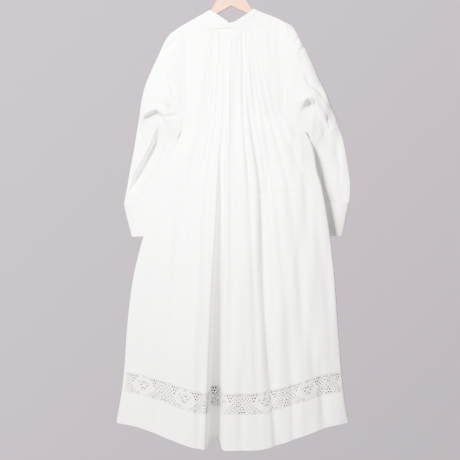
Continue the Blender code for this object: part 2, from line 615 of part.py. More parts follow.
def add_neckband(collection, finish):
    """The narrow band, from its left end at the front round the back to its right end under the left one."""
    upper = np.concatenate([neck_edge(NECK_LEFT, "upper"), neck_edge(NECK_RIGHT, "upper")[::-1]])
    lower = np.concatenate([neck_edge(NECK_LEFT, "lower"), neck_edge(NECK_RIGHT, "lower")[::-1]])
    lower += unit(upper - lower) * SEAM
    grid = np.array([upper, (upper + lower) / 2, lower])
    normals = facing_out(grid_normals(grid, False), grid, CHEST_CENTRE)
    vertices, faces = wall_mesh(grid, grid - normals * BAND_WALL, False)
    return add_mesh("neckband", vertices, faces, collection, finish)


def yoke_end(side):
    """The shoulder end of a yoke, front seam to back seam, with as many points as the neck has."""
    here = section(YOKE_SEAM)
    x = here["left"] if side < 0 else here["right"]
    ridge = YOKE_RIDGE_END["left" if side < 0 else "right"]
    seam_y = here["armhole"] + HALF_SEAM
    front = np.array((x, -seam_y, -YOKE_SEAM + SEAM))
    corner = np.array((x, -CORNER_Y, -ridge - CORNER_DROP))
    half = [front + (corner - front) * t for t in np.linspace(0, 1, RIDGE_FRONT)]
    half.append(np.array((x, -RIDGE_Y, -ridge)))
    back = [point * np.array((1, -1, 1)) for point in half[::-1]]
    return np.array(half + back)


def yoke_grid(side):
    """A yoke from its shoulder end to the neckband, with its front and back edge level at the yoke seam."""
    end = yoke_end(side)
    if side < 0:
        neck = neck_edge(NECK_LEFT, "lower")
        neck[-1, 0] = NECK_BACK_MIDDLE - HALF_SEAM
    else:
        neck = np.concatenate([neck_edge(NECK_RIGHT, "lower")[1:], neck_edge(NECK_LEFT, "lower")[-1:]])
        neck = np.concatenate([neck[[0, 0]], neck[2:]])
        neck[0] = (YOKE_RIGHT_POINT, -RIGHT_POINT_Y, -YOKE_SEAM + 2 * SEAM)
        neck[1] = YOKE_RIGHT_SIDE
        neck[-1, 0] = NECK_BACK_MIDDLE + HALF_SEAM
    neck[[0, -1], 2] = -YOKE_SEAM + SEAM
    grid = []
    for station in np.linspace(0, 1, YOKE_STATIONS):
        grid.append(end * (1 - station) + neck * station)
    return np.array(grid)


def facing_out(normals, grid, centre):
    """The normals, turned round where most of them point at the centre."""
    outward = grid - np.array(centre)
    outward[..., 0] *= SIDEWAYS_SHARE
    return normals if np.sum(normals * outward) > 0 else -normals


def yoke_normals(side, grid):
    """Normals of a yoke: level along the yoke seam, and square to X at the shoulder end."""
    normals = facing_out(grid_normals(grid, False), grid, CHEST_CENTRE)
    for edge in (0, -1):
        normals[:, edge, 2] = 0
        normals[:, edge] = unit(normals[:, edge])
    normals[0, :, 0] = 0
    normals[0] = unit(normals[0])
    return normals


def add_yoke(name, side, collection, finish):
    """A shoulder yoke over one arm of the hanger."""
    grid = yoke_grid(side)
    vertices, faces = wall_mesh(grid, grid - yoke_normals(side, grid) * WALL, False)
    return add_mesh(name, vertices, faces, collection, finish)


def armhole_ring(side):
    """The sleeve's first ring and its normals: yoke end, front edge, underarm, back edge, yoke end."""
    edge = 0 if side < 0 else -1
    yoke = yoke_grid(side)
    yoke_out = yoke_normals(side, yoke)
    points, outward = [], []
    for k in (RIDGE_FRONT, RIDGE_FRONT - 1):
        points.append(yoke[0, k])
        outward.append(yoke_out[0, k])
    for panel_side, order in ((-1, range(UNDERARM_ROW)), (1, range(UNDERARM_ROW - 1, -1, -1))):
        grid = panel_grid(panel_side)
        normals = body_normals(panel_side, grid, PANEL_DROPS)
        for row in order:
            points.append(grid[row, edge])
            outward.append(normals[row, edge])
        if panel_side < 0:
            under = grid[UNDERARM_ROW, edge].copy()
            under[1] += HALF_SEAM
            points.append(under)
            outward.append(np.array((side * UNDERARM_OUT[0], 0, UNDERARM_OUT[1])))
    for k in (RIDGE_BACK + 1, RIDGE_BACK):
        points.append(yoke[0, k])
        outward.append(yoke_out[0, k])
    points = np.array(points)
    points[:, 0] += side * SEAM
    return points, np.array(outward)


def ring_angles(ring):
    """Each point's angle round the sleeve, from how far down the armhole it is: 0 on top, pi below."""
    top, under = ring[:, 2].max(), ring[:, 2].min()
    fall = (top - ring[:, 2]) / (top - under)
    angles = np.arccos(np.clip(1 - 2 * fall, -1, 1))
    ridge = (np.abs(ring[:, 1]) / RING_TOP_HALF) ** (1 / RING_ROUNDNESS)
    angles = np.where(angles < RING_TOP_ANGLE, np.maximum(angles, ridge), angles)
    behind = np.arange(len(ring)) > 2 + UNDERARM_ROW
    return np.where(behind, 2 * math.pi - angles, angles)


def sleeve_ring(side, row, angles, overhang):
    """One ring: an oval between its outer and inner edge, its front stepped back below the overhang."""
    outer = np.array((row["outer"][0], -row["outer"][1]))
    inner = np.array((row["inner"][0], -row["inner"][1]))
    centre = (outer + inner) / 2
    half = (outer - inner) / 2
    x = centre[0] + half[0] * np.cos(angles) + side * row["bow"] * np.sin(angles) ** 2
    z = centre[1] + half[1] * np.cos(angles)
    bulge = np.sign(np.sin(angles)) * np.abs(np.sin(angles)) ** RING_ROUNDNESS
    y = row["y"] - row["half"] * bulge
    if overhang:
        order = np.argsort(column(overhang, "x"))
        line = np.interp(x, column(overhang, "x")[order], column(overhang, "drop")[order])
        below = step(-OVERHANG_SOFTNESS / 2, OVERHANG_SOFTNESS / 2, -z - line)
        y = y + OVERHANG_STEP * (below - OVERHANG_LEVEL) * np.clip(bulge, 0, 1)
    return np.stack([x, y, z], axis=-1)


def add_sleeve(name, side, table, overhang, collection, finish):
    """A sleeve from the armhole to its cuff, open at both ends."""
    first, first_out = armhole_ring(side)
    angles = ring_angles(first)
    grid = np.array([first] + [sleeve_ring(side, row, angles, overhang) for row in table])
    normals = facing_out(grid_normals(grid, True), grid, grid.mean(axis=(0, 1)))
    normals[0] = first_out
    level(normals, (-1,))
    vertices, faces = wall_mesh(grid, grid - normals * WALL, True)
    return add_mesh(name, vertices, faces, collection, finish)


def add_cuff(name, side, table, collection, finish):
    """A deep cuff, open at both ends."""
    angles = ring_angles(armhole_ring(side)[0])
    grid = np.array([sleeve_ring(side, row, angles, None) for row in table])
    normals = facing_out(grid_normals(grid, True), grid, grid.mean(axis=(0, 1)))
    level(normals, (0, -1))
    vertices, faces = wall_mesh(grid, grid - normals * WALL, True)
    return add_mesh(name, vertices, faces, collection, finish)


def add_tab(collection, finish):
    """The plain tab, made from the front panel's points and moved out."""
    panel = panel_grid(-1)
    across = np.linspace(TAB["left"], TAB["right"], TAB_COLUMNS)
    edges = []
    for row in panel[:2]:
        y, z = (np.interp(across, row[:, 0], row[:, k]) for k in (1, 2))
        edges.append(np.stack([across, y, z], axis=-1))
    down = (np.array((TAB["top"], TAB["bottom"])) - PANEL_DROPS[0]) / (PANEL_DROPS[1] - PANEL_DROPS[0])
    grid = np.array([edges[0] * (1 - t) + edges[1] * t for t in down])
    grid[..., 1] -= TAB_LIFT
    inner = grid.copy()
    outer = grid.copy()
    outer[..., 1] -= TAB_WALL
    vertices, faces = wall_mesh(outer, inner, False)
    return add_mesh("front_tab", vertices, faces, collection, finish)


def tilted(x, z):
    """A point of the hanger after it has tilted on its hook."""
    return (x * math.cos(TILT) - z * math.sin(TILT), x * math.sin(TILT) + z * math.cos(TILT))


def add_wood(collection, finish):
    """The wooden hanger: one outline, given its thickness and rounded edges."""
    right = [(row["x"], -row["drop"]) for row in WOOD_HALF_OUTLINE]
    left = [(-x, z) for x, z in right[::-1]]
    outline = [tilted(x, z) for x, z in right + [(0, -WOOD_APEX_DROP)] + left]
    shape = bmesh.new()
    corners = [shape.verts.new((x, -WOOD_THICKNESS / 2, z)) for x, z in outline]
    front = shape.faces.new(corners)
    swept = bmesh.ops.extrude_face_region(shape, geom=[front])
    moved = [part for part in swept["geom"] if isinstance(part, bmesh.types.BMVert)]
    bmesh.ops.translate(shape, verts=moved, vec=(0, WOOD_THICKNESS, 0))
    bmesh.ops.recalc_face_normals(shape, faces=shape.faces)
    mesh = bpy.data.meshes.new("hanger_wood")
    shape.to_mesh(mesh)
    shape.free()
    mesh.materials.append(finish)
    wood = bpy.data.objects.new("hanger_wood", mesh)
    collection.objects.link(wood)
    rounding = wood.modifiers.new("rounded edges", "BEVEL")
    rounding.width = WOOD_EDGE
    rounding.segments = 2
    rounding.limit_method = "ANGLE"
    rounding.angle_limit = WOOD_SHARP_ANGLE
    return wood


def add_hook(collection, finish):
    """The wire hook: a shank that stands on the wood's crown, then an open ring."""
    radius = HOOK_BEND + WIRE_RADIUS
    route = [(0, -WOOD_TOP + SEAM)] + [(x, -drop) for x, drop in SHANK]
    for angle in np.radians(np.arange(*HOOK_ANGLES, HOOK_STEP)):
        route.append((radius * math.cos(angle), -HOOK_BEND + radius * math.sin(angle)))
    curve = bpy.data.curves.new("hanger_hook", "CURVE")
    curve.dimensions = "3D"
    curve.bevel_depth = WIRE_RADIUS
    curve.bevel_resolution = 2
    curve.use_fill_caps = True
    spline = curve.splines.new("POLY")
    spline.points.add(len(route) - 1)
    for point, (x, z) in zip(spline.points, route):
        turned = tilted(x, z)
        point.co = (turned[0], 0, turned[1], 1)
    curve.materials.append(finish)
    hook = bpy.data.objects.new("hanger_hook", curve)
    collection.objects.link(hook)
    return hook


def build_objects():
    """Makes every piece in its collection."""
    smock = bpy.data.collections.new("church smock on hanger")
    bpy.context.scene.collection.children.link(smock)
    cotton = material("white cotton", (0.93, 0.93, 0.92), 0.85)
    lace = material("cotton bobbin lace", (0.90, 0.90, 0.89), 0.9)
    beech = material("pale beech", (0.84, 0.62, 0.43), 0.45)
    steel = material("bright steel wire", (0.62, 0.62, 0.62), 0.25, 1.0)
    add_wood(smock, beech)
    add_hook(smock, steel)
    add_neckband(smock, cotton)
    add_yoke("yoke_left", -1, smock, cotton)
    add_yoke("yoke_right", 1, smock, cotton)
    add_tab(smock, cotton)
    add_panel("front_panel", -1, smock, cotton)
    add_panel("back_panel", 1, smock, cotton)
    add_sleeve("sleeve_left", -1, LEFT_SLEEVE, LEFT_OVERHANG, smock, cotton)
    add_sleeve("sleeve_right", 1, RIGHT_SLEEVE, RIGHT_OVERHANG, smock, cotton)
    add_cuff("cuff_left", -1, LEFT_CUFF, smock, cotton)
    add_cuff("cuff_right", 1, RIGHT_CUFF, smock, cotton)
    for side, name, columns in ((-1, "front", FRONT_COLUMNS), (1, "back", BACK_COLUMNS)):
        gaps = lace_gaps(sum(columns))
        add_skirt_band("lace_" + name, side, LACE_TOP, LACE_BOTTOM, LACE_ROWS, gaps, smock, lace)
        add_skirt_band("hem_" + name, side, LACE_BOTTOM, HEM_EDGE, HEM_ROWS, None, smock, cotton)


def clear_scene():
    """Removes whatever the scene holds."""
    for old in list(bpy.data.objects):
        bpy.data.objects.remove(old, do_unlink=True)


clear_scene()
build_objects()
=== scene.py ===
"""Looks of a white cotton church smock on a wooden hanger: fine cloth over the solids, finish and light.

Metres, +Z up, +X to the viewer's right, +Y away from the viewer. "drop" is the distance below the hanger
hook's inside top. The tables of the body, folds, neck and sleeves are those that the solids were made from.
"""

import math

import bpy
import numpy as np
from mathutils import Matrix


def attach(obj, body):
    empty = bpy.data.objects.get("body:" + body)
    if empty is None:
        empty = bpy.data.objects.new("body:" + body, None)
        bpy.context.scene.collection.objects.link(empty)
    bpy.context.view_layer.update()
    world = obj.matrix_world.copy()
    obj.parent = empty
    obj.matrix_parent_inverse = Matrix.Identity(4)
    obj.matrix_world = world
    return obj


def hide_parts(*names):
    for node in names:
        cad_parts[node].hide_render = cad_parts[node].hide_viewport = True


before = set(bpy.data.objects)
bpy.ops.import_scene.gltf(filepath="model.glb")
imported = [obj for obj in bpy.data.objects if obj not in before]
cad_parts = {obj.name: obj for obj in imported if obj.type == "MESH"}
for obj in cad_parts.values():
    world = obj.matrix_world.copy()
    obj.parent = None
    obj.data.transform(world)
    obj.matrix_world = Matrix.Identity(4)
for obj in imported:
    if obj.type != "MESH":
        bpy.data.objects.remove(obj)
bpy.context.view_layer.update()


def rows(names, values):
    """A table: a dict for each row, with the names of its columns given once."""
    return [dict(zip(names.split(), value)) for value in values]


SEAM = 0.0003
HALF_SEAM = SEAM / 2

# The body, a row for each section: its side edges as seen from the front, the half depth of the armhole,
# the depth of the side seam, how far the front and back stand off it, and how far the middle hangs lower
UNDERARM = 0.490
YOKE_SEAM = 0.1723
LACE_TOP = 1.2286
LACE_BOTTOM = 1.2937
HEM_EDGE = 1.3880
BODY = rows("name drop left right armhole side_y front back dip", [
    ("yoke seam", 0.1723, -0.143, 0.149, 0.0125, 0, 0.005, 0.004, 0),
    ("shoulder", 0.21, -0.138, 0.15, 0.017, 0, 0.012, 0.01, 0),
    ("chest", 0.26, -0.134, 0.152, 0.0205, 0, 0.018, 0.014, 0),
    ("chest", 0.32, -0.133, 0.154, 0.0225, 0, 0.025, 0.019, 0),
    ("bust", 0.38, -0.134, 0.156, 0.022, 0, 0.031, 0.024, 0),
    ("ribs", 0.43, -0.138, 0.161, 0.018, 0, 0.039, 0.029, 0),
    ("ribs", 0.465, -0.144, 0.196, 0.0115, -0.001, 0.043, 0.033, 0),
    ("underarm", 0.49, -0.15, 0.23, 0, -0.003, 0.045, 0.034, 0),
    ("waist", 0.52, -0.162, 0.249, 0, -0.008, 0.044, 0.04, 0.001),
    ("waist", 0.56, -0.181, 0.26, 0, -0.014, 0.043, 0.047, 0.003),
    ("hip", 0.61, -0.2, 0.268, 0, -0.019, 0.042, 0.054, 0.006),
    ("hip", 0.67, -0.219, 0.285, 0, -0.022, 0.043, 0.06, 0.01),
    ("thigh", 0.75, -0.246, 0.299, 0, -0.023, 0.047, 0.066, 0.016),
    ("thigh", 0.85, -0.276, 0.313, 0, -0.02, 0.054, 0.071, 0.024),
    ("knee", 0.96, -0.301, 0.325, 0, -0.014, 0.063, 0.076, 0.033),
    ("shin", 1.09, -0.317, 0.335, 0, -0.007, 0.074, 0.08, 0.044),
    ("lace top", 1.2286, -0.327, 0.346, 0, -0.002, 0.082, 0.082, 0.055),
    ("lace bottom", 1.2937, -0.335, 0.353, 0, 0, 0.084, 0.084, 0.058),
    ("hem", 1.388, -0.351, 0.368, 0, 0, 0.086, 0.086, 0.068),
])
SIDE_ROUND = 0.009
SIDE_FLANGE = 0.003
CROWN_POWER = 2.2
EDGE_ROUND_START = 0.440
DIP_REACH = 0.85

# The back leaves room for the sleeves between these drops, where its crown is narrower, like a bell
BELL_POWER = 1.2
BELL_STARTS = (0.370, 0.530)
BELL_ENDS = (0.800, 1.050)

# The armholes end at the underarm, but the middle of the cloth runs on past them without a step
CALM_DROPS = (0.1723, 0.210, 0.260, 0.320, 0.380, 0.430, 0.470, 0.500, 0.540, 0.600, 0.680)
CALM_STAND_OFF = (0.0127, 0.0172, 0.0207, 0.0227, 0.0222, 0.0187, 0.0152, 0.0120, 0.0085, 0.0047, 0.0032)
CALM_WINDOW = (0.02, 0.30)

# No fold reaches the side edges: shares of the way to the middle where the folds start and are whole
FOLD_WINDOW = (0.02, 0.22)

# Folds that run down the body, a row each: where the fold lies and how deep it is at five drops,
# its half widths on the left and right at the top and the hem, and how steep its walls are.
# A negative depth is a ridge.
FOLD_DROPS = (0.200, 0.450, 0.670, 1.000, 1.388)
FRONT_FOLDS = rows("name x depth top hem steep", [
    ("left breast", (-0.059, -0.083, -0.129, -0.165, -0.19), (0.002, 0.01, 0.01, 0.003, 0), (0.01, 0.008),
     (0.03, 0.022), 2),
    ("left gather", (-0.02, -0.032, -0.053, -0.062, -0.075), (0.001, 0.009, 0.005, 0, 0), (0.007, 0.006),
     (0.016, 0.014), 2),
    ("middle gather", (-0.008, -0.014, -0.021, -0.03, -0.04), (0.001, 0.007, 0, 0, 0), (0.005, 0.005),
     (0.01, 0.01), 2),
    ("deep pleat", (-0.022, -0.022, -0.0245, -0.038, -0.047), (0, 0, 0.024, 0.08, 0.12), (0.006, 0.004),
     (0.021, 0.019), 10),
    ("right gather", (0.028, 0.021, 0.023, 0.04, 0.05), (0.001, 0.008, 0.005, 0, 0), (0.007, 0.006),
     (0.016, 0.014), 2),
    ("long pleat", (0.037, 0.062, 0.094, 0.107, 0.14), (0.002, 0.014, 0.02, 0.026, 0.014), (0.005, 0.009),
     (0.014, 0.034), 2),
    ("right breast", (0.062, 0.101, 0.135, 0.172, 0.193), (0.002, 0.009, 0.008, 0.01, 0.008), (0.008, 0.01),
     (0.018, 0.026), 2),
    ("right side", (0.085, 0.15, 0.232, 0.26, 0.29), (0.001, 0.005, 0.004, 0, 0), (0.008, 0.01),
     (0.02, 0.02), 2),
    ("right skirt", (0.11, 0.16, 0.2, 0.222, 0.3), (0, 0, 0, 0.008, 0.007), (0.01, 0.01), (0.026, 0.022), 2),
    ("left ridge", (-0.04, -0.06, -0.085, -0.104, -0.134), (0, 0, -0.004, -0.01, -0.007), (0.01, 0.01),
     (0.026, 0.022), 2),
    ("left skirt", (-0.08, -0.11, -0.15, -0.172, -0.222), (0, 0, 0.002, 0.007, 0.008), (0.01, 0.01),
     (0.024, 0.026), 2),
    ("left hem", (-0.1, -0.12, -0.19, -0.24, -0.276), (0, 0, 0, 0.003, 0.007), (0.01, 0.01), (0.018, 0.018),
     2),
])
BACK_FOLDS = rows("name x depth top hem steep", [
    ("left back", (-0.066, -0.086, -0.112, -0.16, -0.212), (0.002, 0.008, 0.01, 0.012, 0.016),
     (0.008, 0.008), (0.024, 0.028), 2),
    ("left pleat", (-0.036, -0.048, -0.062, -0.088, -0.112), (0.002, 0.009, 0.016, 0.028, 0.034),
     (0.006, 0.007), (0.022, 0.016), 2),
    ("middle back", (0, 0.004, 0.008, 0.012, 0.014), (0.001, 0.007, 0.008, 0.006, 0.008), (0.006, 0.006),
     (0.02, 0.02), 2),
    ("right pleat", (0.04, 0.056, 0.074, 0.104, 0.136), (0.002, 0.01, 0.018, 0.032, 0.04), (0.006, 0.007),
     (0.018, 0.024), 2),
    ("right back", (0.074, 0.096, 0.124, 0.178, 0.24), (0.002, 0.007, 0.009, 0.012, 0.014), (0.008, 0.008),
     (0.026, 0.026), 2),
])
DEEP_PLEAT = FRONT_FOLDS[3]
PLEAT_HEM_RISE = 0.011
PLEAT_RISE_START = 0.9

# Small gathers sewn into the yoke seam
GATHER_PITCH = 0.0138
GATHER_DEPTH = 0.0016
GATHER_END = 0.300
GATHER_HALF_WIDTH = 0.062
GATHER_MIDDLE = 0.007

# The plain tab under the neckband's ends
TAB = dict(left=-0.020, right=0.034, top=0.1735, bottom=0.2040)
TAB_WALL = 0.0004
TAB_LIFT = 0.0003
TAB_CLEAR = 0.004
TAB_STEPS = (24, 40)

# Columns of each body panel between its edges and its two deepest folds, how many times finer the cloth
# is than that, and its rows
COLUMNS = dict(front=(23, 15, 14), back=(14, 12, 14))
LOCKED_FOLDS = dict(front=(3, 5), back=(1, 3))
FINER = dict(front=6, back=5)
PANEL_ROWS = dict(front=280, back=200)
HEM_ROWS = 40
LACE_FINER = 22
LACE_FINE_ROWS = 72
SPACING_SAMPLES = 400
CLOSER_IN_GATHERS = 3.5
CLOSER_DROPS = (0.20, 0.45)

# The lace band: cells along one repeat and across the band, and the cells that hold a gap
LACE_REPEAT_CELLS = 8
LACE_ROWS = 4
LACE_GAP_ROWS = rows("row cells width height", [
    (0, (0, 1, 7, 4), 0.62, 0.56),
    (1, (0, 4, 3, 5), 0.52, 0.56),
    (2, (4, 7), 0.52, 0.56),
    (3, (2, 3, 6), 0.62, 0.56),
])

# The neck: the band's upper and lower edge, an x, y and drop each, from the front end to the back middle
NECK_LEFT = rows("name upper lower", [
    ("front end, on top", (-0.007, -0.0214, 0.1512), (-0.0075, -0.0212, 0.1715)),
    ("front", (-0.0165, -0.0212, 0.1452), (-0.025, -0.0205, 0.16)),
    ("front", (-0.031, -0.019, 0.1345), (-0.04, -0.019, 0.149)),
    ("front side", (-0.046, -0.0155, 0.124), (-0.056, -0.0155, 0.137)),
    ("front corner", (-0.06, -0.0097, 0.1156), (-0.074, -0.0097, 0.125)),
    ("over the arm", (-0.062, -0.005, 0.1118), (-0.078, -0.005, 0.1213)),
    ("over the arm", (-0.062, 0.005, 0.1118), (-0.078, 0.005, 0.1213)),
    ("back corner", (-0.06, 0.0097, 0.1156), (-0.074, 0.0097, 0.125)),
    ("back side", (-0.046, 0.014, 0.124), (-0.056, 0.014, 0.137)),
    ("back", (-0.031, 0.016, 0.1345), (-0.04, 0.016, 0.149)),
    ("back", (-0.0165, 0.017, 0.145), (-0.025, 0.017, 0.16)),
    ("back middle", (0.005, 0.017, 0.152), (0.005, 0.0165, 0.172)),
])
NECK_RIGHT = rows("name upper lower", [
    ("front end, below", (-0.014, -0.0186, 0.15), (-0.015, -0.0186, 0.1645)),
    ("front", (-0.004, -0.019, 0.1547), (-0.004, -0.019, 0.1718)),
    ("front", (0.01, -0.019, 0.1525), (0.014, -0.019, 0.1712)),
    ("front", (0.031, -0.018, 0.1408), (0.04, -0.018, 0.156)),
    ("front side", (0.053, -0.0155, 0.126), (0.063, -0.0155, 0.1395)),
    ("front corner", (0.07, -0.0097, 0.1117), (0.085, -0.0097, 0.1197)),
    ("over the arm", (0.0725, -0.005, 0.1079), (0.0885, -0.005, 0.116)),
    ("over the arm", (0.0725, 0.005, 0.1079), (0.0885, 0.005, 0.116)),
    ("back corner", (0.07, 0.0097, 0.1117), (0.085, 0.0097, 0.1197)),
    ("back side", (0.053, 0.014, 0.126), (0.063, 0.014, 0.1395)),
    ("back", (0.035, 0.016, 0.1385), (0.044, 0.016, 0.154)),
    ("back", (0.022, 0.017, 0.147), (0.028, 0.017, 0.164)),
])
BAND_WALL = 0.002
BAND_STEPS = (10, 260)
BAND_INSIDE = 0.9

# The yokes: where the cloth bends over the hanger's arm, and their points
RIDGE_Y = 0.0050
CORNER_Y = 0.0098
CORNER_DROP = 0.0040
RIDGE_FRONT = 5
RIDGE_BACK = 6
YOKE_RIDGE_END = dict(left=0.1580, right=0.1395)
YOKE_STATIONS = 5
YOKE_RIGHT_POINT = 0.0130
RIGHT_POINT_Y = 0.0188
NECK_BACK_MIDDLE = 0.0050
YOKE_RIGHT_SIDE = (0.0215, -0.0188, -0.1670)
YOKE_STEPS = (50, 130)
YOKE_FLATS = (((0, 0.1), (0.3, 0.42)), ((0.58, 0.7), (0.9, 1)))

# The sleeves, a row for each ring: its outer and inner edge as seen from the front, its depth and half
# depth, and how far its middle bows away from the body
LEFT_SLEEVE = rows("outer inner y half bow", [
    ((-0.16, 0.168), (-0.1535, 0.4925), 0, 0.027, 0.006),
    ((-0.191, 0.1925), (-0.1575, 0.497), 0.004, 0.03, 0.012),
    ((-0.2185, 0.245), (-0.16, 0.505), 0.009, 0.033, 0.018),
    ((-0.242, 0.294), (-0.1605, 0.518), 0.016, 0.035, 0.02),
    ((-0.2635, 0.3435), (-0.16, 0.535), 0.024, 0.036, 0.02),
    ((-0.276, 0.392), (-0.159, 0.556), 0.031, 0.036, 0.02),
    ((-0.283, 0.438), (-0.158, 0.578), 0.038, 0.033, 0.018),
    ((-0.2915, 0.483), (-0.156, 0.602), 0.043, 0.03, 0.014),
    ((-0.299, 0.53), (-0.153, 0.628), 0.046, 0.028, 0.01),
    ((-0.312, 0.597), (-0.15, 0.656), 0.048, 0.027, 0.006),
    ((-0.3235, 0.66), (-0.1465, 0.684), 0.05, 0.026, 0.003),
    ((-0.3335, 0.713), (-0.143, 0.709), 0.052, 0.025, 0),
])
RIGHT_SLEEVE = rows("outer inner y half bow", [
    ((0.17, 0.1495), (0.2378, 0.4925), 0, 0.027, 0.006),
    ((0.193, 0.1625), (0.2447, 0.497), 0.004, 0.03, 0.012),
    ((0.216, 0.199), (0.249, 0.505), 0.009, 0.033, 0.018),
    ((0.24, 0.239), (0.2505, 0.518), 0.016, 0.035, 0.02),
    ((0.27, 0.3), (0.2495, 0.535), 0.024, 0.036, 0.02),
    ((0.296, 0.354), (0.2467, 0.556), 0.031, 0.036, 0.02),
    ((0.318, 0.406), (0.2428, 0.578), 0.038, 0.033, 0.018),
    ((0.342, 0.464), (0.236, 0.601), 0.043, 0.03, 0.014),
    ((0.36, 0.528), (0.227, 0.626), 0.046, 0.028, 0.01),
    ((0.372, 0.598), (0.218, 0.654), 0.048, 0.027, 0.006),
    ((0.379, 0.66), (0.208, 0.681), 0.05, 0.026, 0.003),
    ((0.3765, 0.705), (0.198, 0.704), 0.052, 0.025, 0),
])
LEFT_CUFF = rows("outer inner y half bow", [
    ((-0.3335, 0.7133), (-0.143, 0.7093), 0.052, 0.025, 0),
    ((-0.322, 0.762), (-0.144, 0.757), 0.053, 0.024, 0),
    ((-0.309, 0.8135), (-0.145, 0.807), 0.054, 0.023, 0),
])
RIGHT_CUFF = rows("outer inner y half bow", [
    ((0.3765, 0.7053), (0.198, 0.7043), 0.052, 0.025, 0),
    ((0.365, 0.759), (0.194, 0.757), 0.053, 0.024, 0),
    ((0.355, 0.813), (0.19, 0.808), 0.054, 0.023, 0),
])
RING_ROUNDNESS = 0.75
RING_TOP_HALF = 0.027
RING_TOP_ANGLE = 0.5
ARMHOLE_STEPS = 60
ARMHOLE_FADE = 0.05
SLEEVE_STEPS = (190, 180)
CUFF_ROWS = 30

# The upper sleeve hangs over the lower one along this line, seen from the front: how far it stands out,
# how soft its step is and how that softens past the line's ends, and the lip along it
LEFT_OVERHANG = rows("x drop", [
    (-0.285, 0.458),
    (-0.25, 0.434),
    (-0.227, 0.425),
    (-0.21, 0.44),
    (-0.19, 0.47),
])
RIGHT_OVERHANG = rows("x drop", [
    (0.207, 0.425),
    (0.244, 0.394),
    (0.262, 0.4),
    (0.285, 0.44),
    (0.31, 0.47),
])
OVERHANG_STEP = 0.020
OVERHANG_LEVEL = 0.4
OVERHANG_SOFTNESS = 0.010
OVERHANG_FADE = 0.09
OVERHANG_FADE_WINDOW = (-0.03, 0.012)
LIP_DEPTH = 0.004
LIP_WIDTH = 0.012
LIP_WINDOW = (-0.03, 0.0)

# Creases, a row each: a depth (negative for a ridge), half widths on its left and right, and its line of
# x and drop as seen from the front. They fade at both ends, over this share of their length.
CREASE_FADE = 0.3
LEFT_SLEEVE_CREASES = rows("name depth widths line", [
    ("deep diagonal", 0.006, (0.006, 0.01), ((-0.143, 0.194), (-0.18, 0.22), (-0.211, 0.25))),
    ("shoulder", 0.002, (0.004, 0.005), ((-0.108, 0.177), (-0.132, 0.2))),
    ("upper arm", 0.004, (0.006, 0.008), ((-0.194, 0.312), (-0.182, 0.344), (-0.17, 0.378))),
    ("inner side", 0.004, (0.005, 0.008), ((-0.143, 0.266), (-0.149, 0.39), (-0.158, 0.464))),
    ("elbow ridge", -0.004, (0.006, 0.005), ((-0.211, 0.378), (-0.198, 0.399), (-0.183, 0.415))),
    ("elbow wrinkle", 0.003, (0.004, 0.005), ((-0.211, 0.446), (-0.177, 0.443), (-0.146, 0.44))),
    ("strip edge", 0.024, (0.005, 0.018),
     ((-0.217, 0.461), (-0.238, 0.524), (-0.269, 0.581), (-0.294, 0.623), (-0.316, 0.688))),
    ("strip fold", 0.004, (0.005, 0.007), ((-0.287, 0.468), (-0.276, 0.505), (-0.261, 0.545))),
    ("forearm", 0.003, (0.008, 0.01), ((-0.192, 0.483), (-0.205, 0.545), (-0.229, 0.613))),
    ("forearm low", 0.003, (0.008, 0.01), ((-0.248, 0.613), (-0.273, 0.675), (-0.288, 0.712))),
    ("outer upper", 0.003, (0.008, 0.012), ((-0.217, 0.272), (-0.239, 0.334), (-0.254, 0.39))),
    ("above overhang", 0.002, (0.005, 0.005), ((-0.254, 0.415), (-0.226, 0.402), (-0.208, 0.415))),
])
RIGHT_SLEEVE_CREASES = rows("name depth widths line", [
    ("deep crease", 0.007, (0.006, 0.01), ((0.223, 0.303), (0.24, 0.336), (0.269, 0.361), (0.31, 0.406))),
    ("bulge shadow", 0.006, (0.003, 0.007), ((0.158, 0.455), (0.198, 0.474), (0.226, 0.475))),
    ("bulge", -0.005, (0.01, 0.012), ((0.158, 0.433), (0.195, 0.446), (0.223, 0.455))),
    ("soft crease", 0.003, (0.006, 0.007), ((0.136, 0.196), (0.144, 0.223), (0.151, 0.254))),
    ("under opening", 0.003, (0.006, 0.007), ((0.191, 0.488), (0.222, 0.54), (0.248, 0.592))),
    ("elbow creases", 0.003, (0.004, 0.005), ((0.298, 0.443), (0.307, 0.461), (0.316, 0.483))),
    ("elbow creases low", 0.002, (0.004, 0.005), ((0.279, 0.455), (0.291, 0.483), (0.298, 0.508))),
    ("shoulder wrinkle", 0.0015, (0.003, 0.003), ((0.116, 0.14), (0.124, 0.154))),
    ("shoulder wrinkle low", 0.0015, (0.003, 0.003), ((0.178, 0.164), (0.183, 0.192))),
    ("edge wrinkle", 0.003, (0.003, 0.004), ((0.215, 0.2), (0.198, 0.216))),
    ("edge wrinkle low", 0.003, (0.003, 0.004), ((0.232, 0.225), (0.211, 0.244))),
    ("forearm", 0.003, (0.008, 0.01), ((0.267, 0.545), (0.285, 0.613), (0.301, 0.688))),
    ("forearm outer", 0.0025, (0.008, 0.01), ((0.329, 0.514), (0.344, 0.592), (0.344, 0.675))),
    ("lump edge", 0.003, (0.005, 0.007), ((0.239, 0.613), (0.254, 0.657), (0.264, 0.697))),
    ("opening rim", -0.003, (0.006, 0.006), ((0.198, 0.399), (0.244, 0.384), (0.282, 0.427))),
])
